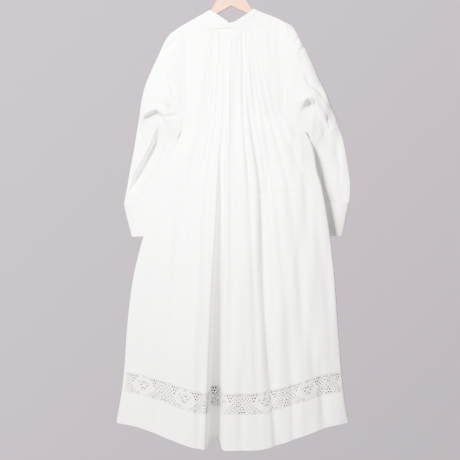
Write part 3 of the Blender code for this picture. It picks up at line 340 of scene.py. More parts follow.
FRONT_CREASES = rows("name depth widths line", [
    ("pressing crease left", 0.0013, (0.003, 0.004), ((-0.242, 0.674), (-0.077, 0.674))),
    ("pressing crease right", 0.0013, (0.003, 0.004), ((-0.019, 0.674), (0.248, 0.674))),
    ("crease to the knot", 0.001, (0.002, 0.004), ((0.191, 0.653), (0.194, 0.812))),
    ("left body fold", -0.003, (0.004, 0.007),
     ((-0.149, 0.244), (-0.135, 0.288), (-0.134, 0.337), (-0.136, 0.39), (-0.143, 0.452))),
    ("chest fold left", 0.003, (0.008, 0.008),
     ((-0.105, 0.266), (-0.112, 0.39), (-0.133, 0.498), (-0.167, 0.607))),
    ("skirt soft left", 0.004, (0.014, 0.014), ((-0.186, 0.7), (-0.217, 0.886), (-0.248, 1.103))),
    ("skirt soft right", 0.004, (0.014, 0.014), ((0.254, 0.7), (0.285, 0.892), (0.31, 1.103))),
    ("hem fold 1", 0.004, (0.01, 0.01), ((-0.276, 1.103), (-0.281, 1.419))),
    ("hem fold 2", 0.004, (0.01, 0.01), ((-0.217, 1.103), (-0.227, 1.425))),
    ("hem fold 3", 0.004, (0.009, 0.009), ((-0.13, 1.134), (-0.14, 1.463))),
    ("hem fold 4", -0.004, (0.008, 0.008), ((-0.105, 1.165), (-0.112, 1.475))),
    ("hem fold 5", 0.004, (0.01, 0.01), ((0.13, 1.134), (0.14, 1.456))),
    ("hem fold 6", 0.004, (0.01, 0.01), ((0.186, 1.134), (0.195, 1.444))),
    ("hem fold 7", 0.003, (0.01, 0.01), ((0.031, 1.134), (0.04, 1.475))),
    ("hem fold 8", 0.003, (0.01, 0.01), ((0.273, 1.134), (0.285, 1.413))),
])
CREASE_GAIN = 1.7
SLEEVE_BACK_SHIFT = (0.012, 0.02)
SLEEVE_BACK_SHARE = 0.7
BACK_SHIFT = 0.020

# The edges of the body's cloth: how far they stay plain, run on to the sleeve and tuck behind the yoke
EDGE_FADE = 0.012
RUN_ON = 0.00015
TURN_REACH = 0.02
TUCK = 0.0025
SEAM_CALM = 0.02

# Small folds of the body, as in the tables of the large ones, and the finest gathers under the yoke seam
FRONT_FINE = rows("name x depth top hem steep", [
    ("left, outer", (-0.045, -0.057, -0.094, -0.118, -0.13), (0.0015, 0.0035, 0.002, 0, 0), (0.005, 0.005),
     (0.016, 0.016), 2),
    ("left, inner", (-0.03, -0.044, -0.072, -0.09, -0.1), (0.0015, 0.0035, 0.0015, 0, 0), (0.004, 0.005),
     (0.014, 0.014), 2),
    ("left, side", (-0.052, -0.07, -0.112, -0.14, -0.16), (0.001, 0.0025, 0.002, 0.001, 0), (0.005, 0.005),
     (0.014, 0.014), 2),
    ("tab, left", (-0.014, -0.021, -0.034, -0.05, -0.06), (0, 0.003, 0.001, 0, 0), (0.004, 0.004),
     (0.01, 0.01), 2),
    ("tab, middle", (0.004, 0.004, 0.003, 0.003, 0.003), (0, 0.003, 0.002, 0.001, 0), (0.004, 0.005),
     (0.012, 0.012), 2),
    ("tab, right", (0.0155, 0.013, 0.012, 0.018, 0.02), (0, 0.003, 0.001, 0, 0), (0.004, 0.004),
     (0.012, 0.012), 2),
    ("right, inner", (0.037, 0.042, 0.06, 0.074, 0.09), (0, 0.004, 0.003, 0.002, 0), (0.004, 0.005),
     (0.014, 0.014), 2),
    ("right, outer", (0.053, 0.081, 0.114, 0.14, 0.165), (0.001, 0.003, 0.0025, 0.001, 0), (0.004, 0.006),
     (0.014, 0.018), 2),
    ("right, side", (0.072, 0.124, 0.18, 0.215, 0.24), (0.001, 0.0025, 0.002, 0.001, 0), (0.005, 0.007),
     (0.018, 0.018), 2),
])
BACK_FINE = rows("name x depth top hem steep", [
    ("left", (-0.05, -0.064, -0.088, -0.125, -0.16), (0.0015, 0.0035, 0.003, 0.002, 0), (0.005, 0.005),
     (0.016, 0.016), 2),
    ("left, inner", (-0.018, -0.022, -0.03, -0.04, -0.05), (0.0015, 0.0035, 0.003, 0.002, 0),
     (0.005, 0.005), (0.014, 0.014), 2),
    ("right, inner", (0.02, 0.028, 0.04, 0.056, 0.07), (0.0015, 0.0035, 0.003, 0.002, 0), (0.005, 0.005),
     (0.014, 0.014), 2),
    ("right", (0.056, 0.076, 0.1, 0.142, 0.19), (0.0015, 0.0035, 0.003, 0.002, 0), (0.005, 0.005),
     (0.016, 0.016), 2),
])
FINE_GAIN = 2.8
FINE_GATHER_PITCH = 0.0052
FINE_GATHER_DEPTH = 0.0012
FINE_GATHER_DROPS = (0.19, 0.32)
FINE_GATHER_LEAN = 40

# Unevenness of the cloth: lengths across and down, height and phase of each wave
BODY_WAVES = [(0.043, 0.9, 0.0006, 0.4), (0.067, 0.55, 0.0008, 2.1), (0.110, 1.3, 0.0010, 4.0),
              (0.029, -0.7, 0.0003, 1.2), (0.23, 0.31, 0.0008, 5.1)]
SLEEVE_WAVES = [(0.060, 0.21, 0.0010, 0.7), (0.11, -0.16, 0.0012, 2.6), (0.038, 0.33, 0.0005, 4.4)]
CUFF_WAVES = [(0.09, 0.40, 0.0007, 0.5), (0.05, -0.3, 0.0004, 1.9)]
YOKE_WAVES = [(0.045, 0.060, 0.0006, 0.2), (0.028, -0.09, 0.0004, 2.9)]

# The lace's pattern: the width of a cell of the repeat, and how far its lines stray across and down, in
# waves with radians for each metre along and down, and a phase
CELL_WIDTH = 0.0178
LACE_HEIGHT = 0.065
LACE_UNEVEN = 0.0006
LACE_WAVES_ACROSS = ((61, 190, 0), (37, -120, 1.3))
LACE_WAVES_DOWN = ((83, 0, 0.7), (29, 150, 0))
# Apart from the largest gaps, the holes below are not cut: their faces get a dark finish, painted shade where
# the inside would show through
# Dense diamonds, with the cell that holds their middle, and pinholes well inside them
DENSE_CENTRE = 4.5
DENSE_HALF = (0.036, 0.030)
PIN_PITCH = 0.0060
PIN_OPEN = 0.16
PINS_WITHIN = 0.95
# A flower of holes round the middle of each dense diamond, each with a whole rim
PETALS = 6
FLOWER_RADIUS = 0.0100
PETAL_RADIUS = 0.0030
PETAL_RIM = 0.0044
# Open net outside the dense diamonds
NET_PITCH = 0.0100
NET_OPEN = 0.28
NET_EDGE = 0.0265
NET_BEYOND = 1.12
# Triangles of larger holes: their cell, and 1 for pointing down from the top or -1 for up from the bottom
JUNCTIONS = ((2.5, 1), (6.5, 1), (0.5, -1))
JUNCTION_LINES = 3
JUNCTION_EDGE = 0.0085
JUNCTION_PITCH = 0.0080
JUNCTION_RADIUS = 0.0030
JUNCTION_RIM = 0.0048
# Threads that cross the largest gaps
GAP_THREADS = 0.0052
GAP_OPEN = 0.36
# Rows of small holes along both edges, on a whole tape
FOOT_PITCH = 0.0048
FOOT_LINE = 0.0292
FOOT_TAPE = 0.0024
FOOT_RADIUS = 0.0012

# Stitches, and how many rows or columns of a piece's grid they lie from its edges
STITCH_PITCH = 0.0034
STITCH_HALF = 0.0013
STITCH_WIDE = 0.00028
STITCH_LIFT = 0.00025
STITCH_AHEAD = 0.0005
STITCH_FACES = np.array([(0, 2, 5), (0, 5, 3), (0, 3, 4), (0, 4, 2),
                         (1, 5, 2), (1, 3, 5), (1, 4, 3), (1, 2, 4)])
SIDE_MARGIN = 3
HEM_STITCH_ROWS = (4, 37)
CUFF_STITCH_ROWS = (1, 28)
YOKE_STITCH_COLUMNS = (2, -3)
BAND_STITCH_ROWS = (1, 8)
TAB_MARGIN = 2

# Finishes, as values of the shader's sockets
COTTON = {"Roughness": 0.88, "Specular IOR Level": 0.25, "Sheen Weight": 0.15, "Sheen Roughness": 0.6}
LACQUERED_WOOD = {"Roughness": 0.38, "Coat Weight": 0.25, "Coat Roughness": 0.25}
DRAWN_WIRE = {"Metallic": 1.0, "Base Color": (0.62, 0.62, 0.63, 1)}
# A near-black finish on the faces that fill the lace's fine holes: painted shade, not a colour of the lace
PAINTED_LACE_SHADE = {"Base Color": (0.028, 0.027, 0.028, 1), "Roughness": 1.0, "Specular IOR Level": 0.0}
FLOOR_PAINT = {"Base Color": (0.80, 0.78, 0.79, 1), "Roughness": 0.9}
WOOD_COLOURS = ((0.42, 0.15, 0.040), (0.53, 0.215, 0.070))
WHITE = (0.90, 0.90, 0.89)
WHITE_SHADE = (0.87, 0.87, 0.865)
LACE_WHITE = (0.88, 0.88, 0.87)
LACE_WHITE_SHADE = (0.84, 0.84, 0.835)
THREAD_WHITE = (0.92, 0.92, 0.91)
WAVES_PER_SCALE = 0.314

# The floor under the hanging smock: a wide round slab well below the picture
FLOOR_Z = -3.1
FLOOR_RADIUS = 5.5
FLOOR_SIDES = 64

# The room: its colours at the upper left and lower right, painted light on the backdrop as of a wall lit from
# the upper left, and its strength as a light
ROOM_COLOURS = ((1.36, 1.14, 1.28), (0.86, 0.73, 0.80))
ROOM_SLANT = (-0.40, 0.40)
AMBIENT = 0.27

LIGHT_COLOUR = (1.0, 0.975, 0.93)
LIGHT_SPREAD = 2.1
LIGHTS = rows("name place target size power", [
    ("key light", (-0.80, -1.70, 0.45), (0, 0, -0.56), 0.5, 235),
    ("rear light, left", (-2.6, 1.3, 0.5), (0, 0, -0.8), 0.8, 85),
    ("rear light, right", (2.0, 2.4, 0.3), (0, 0, -0.8), 1.2, 28),
])

CAMERA_DISTANCE = 3.2
CAMERA_DROP = 0.793
PICTURE_HALF = 0.713
SENSOR = 36


def column(table, name):
    """One named column of a table as an array."""
    return np.array([row[name] for row in table], dtype=float)


def smooth_line(stations, values, at):
    """Smooth curves through the values at the stations.

    Each piece between two stations is a cubic. Its slope at a station is the harmonic mean of the slopes on
    both sides, or 0 where they differ in sign, so that it never overshoots.
    """
    stations = np.asarray(stations, dtype=float)
    values = np.asarray(values, dtype=float)
    at = np.clip(np.atleast_1d(np.asarray(at, dtype=float)), stations[0], stations[-1])
    wide = (slice(None),) + (None,) * (values.ndim - 1)
    widths = np.diff(stations)[wide]
    slopes = np.diff(values, axis=0) / widths
    tangents = np.zeros_like(values)
    inner = slopes[:-1] * slopes[1:] > 0
    mean = 2 * slopes[:-1] * slopes[1:] / np.where(inner, slopes[:-1] + slopes[1:], 1)
    tangents[1:-1] = np.where(inner, mean, 0)
    tangents[0] = slopes[0]
    tangents[-1] = slopes[-1]
    piece = np.clip(np.searchsorted(stations, at, side="right") - 1, 0, len(stations) - 2)
    width = widths[piece]
    t = (at - stations[piece])[wide] / width
    start = values[piece] * (1 + 2 * t) * (1 - t) ** 2 + tangents[piece] * width * t * (1 - t) ** 2
    end = values[piece + 1] * t ** 2 * (3 - 2 * t) + tangents[piece + 1] * width * t ** 2 * (t - 1)
    return start + end


def step(low, high, value):
    """0 below low, 1 above high, and between them t squared times (3 - 2 t), a smooth S."""
    t = np.clip((np.asarray(value, dtype=float) - low) / (high - low), 0, 1)
    return t * t * (3 - 2 * t)


def unit(vectors):
    """Vectors scaled to length 1."""
    return vectors / np.maximum(np.linalg.norm(vectors, axis=-1, keepdims=True), 1e-12)


def section(drop):
    """The body's section values at one drop, read from the BODY table."""
    drops = column(BODY, "drop")
    return {name: float(smooth_line(drops, column(BODY, name), drop)[0])
            for name in ("left", "right", "armhole", "side_y", "front", "back", "dip")}


def fold_values(fold, drop):
    """Place, depth and the two half widths of one fold at one drop."""
    down = (drop - FOLD_DROPS[0]) / (FOLD_DROPS[-1] - FOLD_DROPS[0])
    place = float(smooth_line(FOLD_DROPS, fold["x"], drop)[0])
    depth = float(smooth_line(FOLD_DROPS, fold["depth"], drop)[0])
    left = fold["top"][0] + (fold["hem"][0] - fold["top"][0]) * max(down, 0)
    right = fold["top"][1] + (fold["hem"][1] - fold["top"][1]) * max(down, 0)
    return place, depth, left, right


def fold_shape(fold, x, drop):
    """A fold's trough at x, from 0 to 1: 1 / (1 + |t| ** steep), with t the distance over its half width."""
    place, depth, left, right = fold_values(fold, drop)
    t = (x - place) / np.where(x < place, left, right)
    return 1 / (1 + np.abs(t) ** fold["steep"])


def fold_depth(folds, x, drop):
    """Depth of all folds at x."""
    return sum(fold_values(fold, drop)[1] * fold_shape(fold, x, drop) for fold in folds)


def clear_of_tab(x, drop, below, reach):
    """0 under the tab, rising to 1 over a reach from a little below its lower edge, and 1 beside it."""
    under_tab = (x > TAB["left"] - TAB_CLEAR) & (x < TAB["right"] + TAB_CLEAR) & below
    return np.where(under_tab, step(TAB["bottom"] - TAB_CLEAR, TAB["bottom"] + reach, drop), 1)


def gather_depth(x, drop):
    """Sine waves of the gathers in the yoke seam, which fade out downwards and stay clear of the tab."""
    out = np.abs(x - GATHER_MIDDLE)
    reach = 1 - step(GATHER_HALF_WIDTH - GATHER_PITCH, GATHER_HALF_WIDTH + GATHER_PITCH / 2, out)
    plain = clear_of_tab(x, drop, True, 5 * TAB_CLEAR)
    fade = 1 - step(TAB["bottom"], GATHER_END, drop)
    return GATHER_DEPTH * reach * plain * fade * np.sin(2 * math.pi * (x - GATHER_MIDDLE) / GATHER_PITCH)


def body_line(side, drop, x):
    """Points of the body's front (side -1) or back (side 1) at one drop.

    The depth is the seam's stand-off, a round edge, and a crown of 1 - (1 - share) ** power that is highest
    in the middle, less the folds. The height is the drop, and the middle hangs lower.
    """
    here = section(drop)
    width = here["right"] - here["left"]
    inward = np.minimum(x - here["left"], here["right"] - x)
    middle = np.clip(2 * inward / width, 0, 1)
    edge_round = SIDE_ROUND * float(step(EDGE_ROUND_START, UNDERARM, drop))
    rounding = np.sqrt(np.maximum(1 - (1 - np.clip(inward / SIDE_ROUND, 0, 1)) ** 2, 0))
    broad = 1 - (1 - middle) ** CROWN_POWER
    if side < 0:
        crown = here["front"] * broad
        folds = fold_depth(FRONT_FOLDS, x, drop) + gather_depth(x, drop)
    else:
        bell = step(0, 1, middle) ** BELL_POWER
        behind_sleeves = float(step(*BELL_STARTS, drop) * (1 - step(*BELL_ENDS, drop)))
        crown = here["back"] * (bell * behind_sleeves + broad * (1 - behind_sleeves))
        folds = fold_depth(BACK_FOLDS, x, drop) + gather_depth(x, drop)
    window = step(*FOLD_WINDOW, middle)
    stand_off = HALF_SEAM + max(here["armhole"], SIDE_FLANGE)
    calm = float(smooth_line(CALM_DROPS, CALM_STAND_OFF, drop)[0]) - stand_off
    depth = stand_off + calm * step(*CALM_WINDOW, middle) + edge_round * rounding + crown - folds * window
    rise = 0
    if side < 0:
        rise = PLEAT_HEM_RISE * step(PLEAT_RISE_START, HEM_EDGE, drop) * fold_shape(DEEP_PLEAT, x, drop)
    y = here["side_y"] + side * depth
    z = -(drop + here["dip"] * step(0, DIP_REACH, middle)) + rise
    return np.stack([x, y, z], axis=-1)


def spaced(side, drop, counts, locks):
    """Columns of one row: even along the cloth from edge to locked fold to edge, closer in the gathers."""
    here = section(drop)
    folds = FRONT_FOLDS if side < 0 else BACK_FOLDS
    breaks = [here["left"]] + [fold_values(folds[k], drop)[0] for k in locks] + [here["right"]]
    columns = []
    for start, end, count in zip(breaks[:-1], breaks[1:], counts):
        x = np.linspace(start, end, SPACING_SAMPLES)
        points = body_line(side, drop, x)
        length = np.linalg.norm(np.diff(points, axis=0), axis=1)
        middle = (x[1:] + x[:-1]) / 2
        gathered = np.exp(-((middle - GATHER_MIDDLE) / GATHER_HALF_WIDTH) ** 2)
        closer = 1 + CLOSER_IN_GATHERS * gathered * (1 - step(*CLOSER_DROPS, drop))
        run = np.concatenate([[0], np.cumsum(length * closer)])
        columns.append(np.interp(np.linspace(0, run[-1], count + 1)[:-1], run, x))
    columns.append([here["right"]])
    return np.concatenate(columns)


def neck_edge(table, edge):
    """The points of one edge of the neckband."""
    points = np.array([row[edge] for row in table], dtype=float)
    points[:, 2] *= -1
    return points


def yoke_end(side):
    """The shoulder end of a yoke, front seam to back seam, with as many points as the neck has."""
    here = section(YOKE_SEAM)
    x = here["left"] if side < 0 else here["right"]
    ridge = YOKE_RIDGE_END["left" if side < 0 else "right"]
    seam_y = here["armhole"] + HALF_SEAM
    front = np.array((x, -seam_y, -YOKE_SEAM + SEAM))
    corner = np.array((x, -CORNER_Y, -ridge - CORNER_DROP))
    half = [front + (corner - front) * t for t in np.linspace(0, 1, RIDGE_FRONT)]
    half.append(np.array((x, -RIDGE_Y, -ridge)))
    back = [point * np.array((1, -1, 1)) for point in half[::-1]]
    return np.array(half + back)


def yoke_grid(side):
    """A yoke in straight lines from its shoulder end to the neckband, its seam edges level."""
    end = yoke_end(side)
    if side < 0:
        neck = neck_edge(NECK_LEFT, "lower")
        neck[-1, 0] = NECK_BACK_MIDDLE - HALF_SEAM
    else:
        neck = np.concatenate([neck_edge(NECK_RIGHT, "lower")[1:], neck_edge(NECK_LEFT, "lower")[-1:]])
        neck = np.concatenate([neck[[0, 0]], neck[2:]])
        neck[0] = (YOKE_RIGHT_POINT, -RIGHT_POINT_Y, -YOKE_SEAM + 2 * SEAM)
        neck[1] = YOKE_RIGHT_SIDE
        neck[-1, 0] = NECK_BACK_MIDDLE + HALF_SEAM
    neck[[0, -1], 2] = -YOKE_SEAM + SEAM
    return np.array([end * (1 - share) + neck * share for share in np.linspace(0, 1, YOKE_STATIONS)])


def sleeve_ring(side, row, angles):
    """One ring of a sleeve or cuff, an oval between its outer and inner edge as seen from the front.

    x and z follow the cosine of the angle, and the depth follows its sine, to the power of the roundness.
    """
    outer = np.array((row["outer"][0], -row["outer"][1]))
    inner = np.array((row["inner"][0], -row["inner"][1]))
    centre = (outer + inner) / 2
    half = (outer - inner) / 2
    x = centre[0] + half[0] * np.cos(angles) + side * row["bow"] * np.sin(angles) ** 2
    z = centre[1] + half[1] * np.cos(angles)
    bulge = np.sign(np.sin(angles)) * np.abs(np.sin(angles)) ** RING_ROUNDNESS
    return np.stack([x, row["y"] - row["half"] * bulge, z], axis=-1)


def grid_normals(grid, closed):
    """Normals of a grid of points: the cross product of its slopes down and across, at length 1."""
    if closed:
        grid = np.concatenate([grid[:, -1:], grid, grid[:, :1]], axis=1)
    along = np.gradient(grid, axis=0)
    across = np.gradient(grid, axis=1)
    normals = unit(np.cross(along, across))
    return normals[:, 1:-1] if closed else normals


def link_piece(name, mesh):
    """A new object of the mesh that rides on the part's one body."""
    piece = bpy.data.objects.new(name, mesh)
    bpy.context.scene.collection.objects.link(piece)
    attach(piece, "root")
    return piece


def add_grid(name, grid, finish, closed=False, flip=False, keep=None, second=None):
    """A sheet of quads over a grid of points, closed across its columns if asked.

    Its UV map is in metres: the mean width of a row across, and the mean length of a column down. Only the
    cells that keep marks are made. A second finish and the cells that it covers can be given.
    """
    row_count, columns = grid.shape[:2]
    wide = np.linalg.norm(np.diff(grid, axis=1), axis=2).sum(axis=1).mean()
    long = np.linalg.norm(np.diff(grid, axis=0), axis=2).sum(axis=0).mean()
    last = columns if closed else columns - 1
    row, col = np.meshgrid(np.arange(row_count - 1), np.arange(last), indexing="ij")
    if keep is None:
        row, col = row.ravel(), col.ravel()
    else:
        row, col = row[keep], col[keep]
    turns = [(0, 0), (1, 0), (1, 1), (0, 1)]
    if flip:
        turns = turns[::-1]
    corners = np.stack([(row + down) * columns + (col + right) % columns for down, right in turns], axis=1)
    u = np.stack([(col + right) * wide / last for down, right in turns], axis=1)
    v = np.stack([-(row + down) * long / (row_count - 1) for down, right in turns], axis=1)
    used, index = np.unique(corners, return_inverse=True)
    points = grid.reshape(-1, 3)[used]
    mesh = bpy.data.meshes.new(name)
    mesh.vertices.add(len(points))
    mesh.vertices.foreach_set("co", points.astype(np.float32).ravel())
    mesh.loops.add(corners.size)
    mesh.loops.foreach_set("vertex_index", index.ravel().astype(np.int32))
    mesh.polygons.add(len(corners))
    mesh.polygons.foreach_set("loop_start", np.arange(0, corners.size, 4, dtype=np.int32))
    mesh.update(calc_edges=True)
    layer = mesh.uv_layers.new(name="cloth")
    layer.data.foreach_set("uv", np.stack([u.ravel(), v.ravel()], axis=1).astype(np.float32).ravel())
    mesh.shade_smooth()
    mesh.validate()
    mesh.materials.append(finish)
    if second is not None:
        mesh.materials.append(second[0])
        mesh.polygons.foreach_set("material_index", second[1][keep].astype(np.int32))
    return link_piece(name, mesh)


def shell(outer, inner):
    """One grid round a thin wall: down its outside, over its lower edge and up its inside."""
    return np.concatenate([outer, inner[::-1], outer[:1]], axis=0)


def crease_field(creases, x, drop):
    """Depth of all creases at points of the front view.

    Each is depth times exp(-(distance / half width) ** 2) across its line, and fades at both ends.
    """
    total = np.zeros_like(x)
    for crease in creases:
        line = np.array(crease["line"])
        nearest = np.full(x.shape, 1e9)
        share = np.zeros_like(x)
        toward = np.zeros_like(x)
        lengths = np.linalg.norm(np.diff(line, axis=0), axis=1)
        start = 0
        for a, b, length in zip(line[:-1], line[1:], lengths):
            way = (b - a) / length
            t = np.clip((x - a[0]) * way[0] + (drop - a[1]) * way[1], 0, length)
            away = np.hypot(x - a[0] - way[0] * t, drop - a[1] - way[1] * t)
            closer = away < nearest
            nearest = np.where(closer, away, nearest)
            share = np.where(closer, (start + t) / lengths.sum(), share)
            toward = np.where(closer, (x - a[0]) * way[1] - (drop - a[1]) * way[0], toward)
            start += length
        left, right = crease["widths"]
        width = np.where(toward < 0, left, right)
        ends = step(0, CREASE_FADE, share) * step(0, CREASE_FADE, 1 - share)
        total += crease["depth"] * ends * np.exp(-(nearest / width) ** 2)
    return total


def ripple(x, z, waves):
    """Unevenness of cloth: a sum of sine waves, each with its lengths across and down, height and phase."""
    total = np.zeros_like(x)
    for across, down, height, phase in waves:
        total += height * np.sin(2 * math.pi * (x / across + z / down) + phase)
    return total


def body_points(side, drop, x):
    """One row of the body's cloth: the solid's row with its small folds, creases and unevenness.

    Above the yoke seam the cloth slants back, to tuck in behind the yoke.
    """
    points = body_line(side, drop, x)
    points[:, 1] -= side * max(YOKE_SEAM - drop, 0)
    here = section(drop)
    inward = np.minimum(x - here["left"], here["right"] - x)
    whole = step(0, EDGE_FADE, inward)
    drops = np.full_like(x, drop)
    if side < 0:
        extra = crease_field(FRONT_CREASES, x, drops) + FINE_GAIN * fold_depth(FRONT_FINE, x, drop)
    else:
        extra = crease_field(FRONT_CREASES, BACK_SHIFT - x, drops) + FINE_GAIN * fold_depth(BACK_FINE, x, drop)
    wave = 2 * math.pi * (x - GATHER_MIDDLE) / FINE_GATHER_PITCH + drop * FINE_GATHER_LEAN
    out = np.abs(x - GATHER_MIDDLE)
    reach = 1 - step(GATHER_HALF_WIDTH - GATHER_PITCH, GATHER_HALF_WIDTH + GATHER_PITCH, out)
    plain = clear_of_tab(x, drop, side < 0, TAB_CLEAR)
    extra += FINE_GATHER_DEPTH * (1 - step(*FINE_GATHER_DROPS, drop)) * reach * plain * np.sin(wave)
    extra += ripple(x, drops, BODY_WAVES)
    calm = step(YOKE_SEAM, YOKE_SEAM + SEAM_CALM, drop)
    points[:, 1] -= side * extra * whole * calm
    return points


def turned_row(side, drop, x):
    """A row of the body's cloth with one more point at each edge.

    Above the underarm it runs a little on towards the sleeve, and below it turns in at the side seam.
    """
    points = body_points(side, drop, x)
    turned = float(step(UNDERARM - TURN_REACH, UNDERARM, drop))
    turn = max(section(drop)["armhole"], SIDE_FLANGE) * turned
    first, last = points[:1].copy(), points[-1:].copy()
    for end, way in ((first, -1), (last, 1)):
        end[0, 0] += way * RUN_ON * (1 - turned)
        end[0, 1] -= side * turn
    return np.concatenate([first, points, last])


def body_grid(side, top, bottom, row_count, finer):
    """The body's cloth between two drops, its columns as many times finer as asked."""
    name = "front" if side < 0 else "back"
    counts = [count * finer for count in COLUMNS[name]]
    return np.array([turned_row(side, drop, spaced(side, drop, counts, LOCKED_FOLDS[name]))
                     for drop in np.linspace(top, bottom, row_count + 1)])


def lace_stray(along, z, waves):
    """How far handmade lace strays from an even pattern: a sum of sine waves."""
    return LACE_UNEVEN * sum(np.sin(along * across + z * down + phase) for across, down, phase in waves)


def lace_cells(columns, row_count, finer):
    """Which cells of the lace are there, and which of them are fine holes, which are not cut but filled with
    painted shade.

    A dense diamond is |x| / half width + |z| / half height < 1. The net is open where both (x + z) and
    (x - z) are near the middle of a pitch. All other holes are discs, each cleared of the net by its rim.
    """
    cells = (np.arange(columns) + 0.5 - 1) / finer
    down = (np.arange(row_count) + 0.5) / row_count
    cell, share = np.meshgrid(cells, down)
    place = cell % LACE_REPEAT_CELLS
    x = (place - DENSE_CENTRE) * CELL_WIDTH
    z = (share - 0.5) * LACE_HEIGHT
    hole = np.zeros(x.shape, bool)
    along = cell * CELL_WIDTH
    x, z = x + lace_stray(along, z, LACE_WAVES_ACROSS), z + lace_stray(along, z, LACE_WAVES_DOWN)
    # open net, and pinholes in the dense diamonds
    inside = np.abs(x) / DENSE_HALF[0] + np.abs(z) / DENSE_HALF[1]
    first = np.abs(((x + z) / NET_PITCH) % 1 - 0.5) < NET_OPEN
    second = np.abs(((x - z) / NET_PITCH) % 1 - 0.5) < NET_OPEN
    hole |= first & second & (inside > NET_BEYOND) & (np.abs(z) < NET_EDGE)
    pin_x = (x / PIN_PITCH) % 1 - 0.5
    pin_z = (z / PIN_PITCH) % 1 - 0.5
    hole |= (np.hypot(pin_x, pin_z) < PIN_OPEN) & (inside < PINS_WITHIN)
    for petal in range(PETALS):
        angle = petal * 2 * math.pi / PETALS
        away = np.hypot(x - FLOWER_RADIUS * math.cos(angle), z - FLOWER_RADIUS * math.sin(angle))
        hole = (hole & (away > PETAL_RIM)) | (away < PETAL_RADIUS)
    # triangles of larger holes
    for centre, way in JUNCTIONS:
        offset = (place - centre + LACE_REPEAT_CELLS / 2) % LACE_REPEAT_CELLS - LACE_REPEAT_CELLS / 2
        for line in range(JUNCTION_LINES):
            z_line = way * (LACE_HEIGHT / 2 - JUNCTION_EDGE - line * JUNCTION_PITCH)
            for k in range(JUNCTION_LINES - line):
                shift = (k - (JUNCTION_LINES - 1 - line) / 2) * JUNCTION_PITCH
                away = np.hypot(offset * CELL_WIDTH - shift, z + z_line)
                hole = (hole & (away > JUNCTION_RIM)) | (away < JUNCTION_RADIUS)
    # the largest gaps, cut through the solid too, crossed by single threads
    cut = np.zeros(x.shape, bool)
    thread_x = np.abs((x / GAP_THREADS) % 1 - 0.5) > GAP_OPEN
    thread_z = np.abs((z / GAP_THREADS) % 1 - 0.5) > GAP_OPEN
    for line in LACE_GAP_ROWS:
        near_z = np.abs(share * LACE_ROWS - line["row"] - 0.5) < line["height"] / 2
        for gap in line["cells"]:
            near = (np.abs(place - gap - 0.5) < line["width"] / 2) & near_z
            hole &= ~near
            cut |= near & ~(thread_x | thread_z)
    # the rows of small holes along both edges
    for edge in (-1, 1):
        foot = np.hypot(((x / FOOT_PITCH) % 1 - 0.5) * FOOT_PITCH, z - edge * FOOT_LINE)
        hole = (hole & (np.abs(z - edge * FOOT_LINE) > FOOT_TAPE)) | (foot < FOOT_RADIUS)
    ends = np.zeros(x.shape, bool)
    ends[:, :finer + 1] = True
    ends[:, -finer - 1:] = True
    # the second mask marks the fine holes, whose faces get painted shade
    return ~cut | ends, hole & ~ends


def yoke_cloth(side):
    """A yoke in fine steps, from its shoulder end to the neckband, with soft creases on its flat parts."""
    rough = yoke_grid(side)
    across = np.linspace(0, rough.shape[1] - 1, YOKE_STEPS[1])
    fine = smooth_line(np.arange(rough.shape[1]), rough.transpose(1, 0, 2), across).transpose(1, 0, 2)
    grid = smooth_line(np.arange(len(fine)), fine, np.linspace(0, len(fine) - 1, YOKE_STEPS[0]))
    share = across / across[-1]
    flat = sum(step(*rise, share) * (1 - step(*fall, share)) for rise, fall in YOKE_FLATS)
    way = np.where(share < 0.5, -1, 1)
    grid[..., 1] += way * flat * ripple(grid[..., 0], grid[..., 2], YOKE_WAVES)
    return grid


def armhole_loop(side):
    """The armhole's points and their angles round the sleeve: over the arm, down the front, up the back."""
    edge = "left" if side < 0 else "right"
    end = yoke_end(side)
    drops = np.linspace(YOKE_SEAM, UNDERARM, ARMHOLE_STEPS)
    halves = []
    for panel, top in ((-1, end[RIDGE_FRONT::-1]), (1, end[RIDGE_BACK:])):
        line = [body_line(panel, drop, np.array([section(drop)[edge]]))[0] for drop in drops[1:-1]]
        halves.append(np.concatenate([top, line]))
    under = body_line(-1, UNDERARM, np.array([section(UNDERARM)[edge]]))[0]
    under[1] += HALF_SEAM + SIDE_FLANGE
    loop = np.concatenate([halves[0], [under], halves[1][::-1]])
    top, low = loop[:, 2].max(), loop[:, 2].min()
    angles = np.arccos(np.clip(1 - 2 * (top - loop[:, 2]) / (top - low), -1, 1))
    ridge = (np.abs(loop[:, 1]) / RING_TOP_HALF) ** (1 / RING_ROUNDNESS)
    angles = np.where(angles < RING_TOP_ANGLE, np.maximum(angles, ridge), angles)
    angles[len(halves[0]) + 1:] = 2 * math.pi - angles[len(halves[0]) + 1:]
    loop[:, 0] += side * SEAM
    order = np.argsort(angles)
    return angles[order], loop[order]


def ring_angles():
    """The angles of the points round a sleeve or cuff."""
    return np.linspace(0, 2 * math.pi, SLEEVE_STEPS[1] + 1)[:-1]


def overhang_depth(overhang, x, drop):
    """How far the upper sleeve stands out over the lower one: a soft step across the line, less a lip."""
    overhang = sorted(overhang, key=lambda point: point["x"])
    line_x, line_drop = column(overhang, "x"), column(overhang, "drop")
    line = np.interp(x, line_x, line_drop)
    beyond = np.maximum(line_x[0] - x, x - line_x[-1])
    soft = OVERHANG_SOFTNESS + OVERHANG_FADE * step(*OVERHANG_FADE_WINDOW, beyond)
    below = step(-soft / 2, soft / 2, drop - line)
    lip = LIP_DEPTH * np.exp(-((drop - line + OVERHANG_SOFTNESS) / LIP_WIDTH) ** 2)
    lip *= 1 - step(*LIP_WINDOW, beyond)
    return OVERHANG_STEP * (below - OVERHANG_LEVEL) - lip


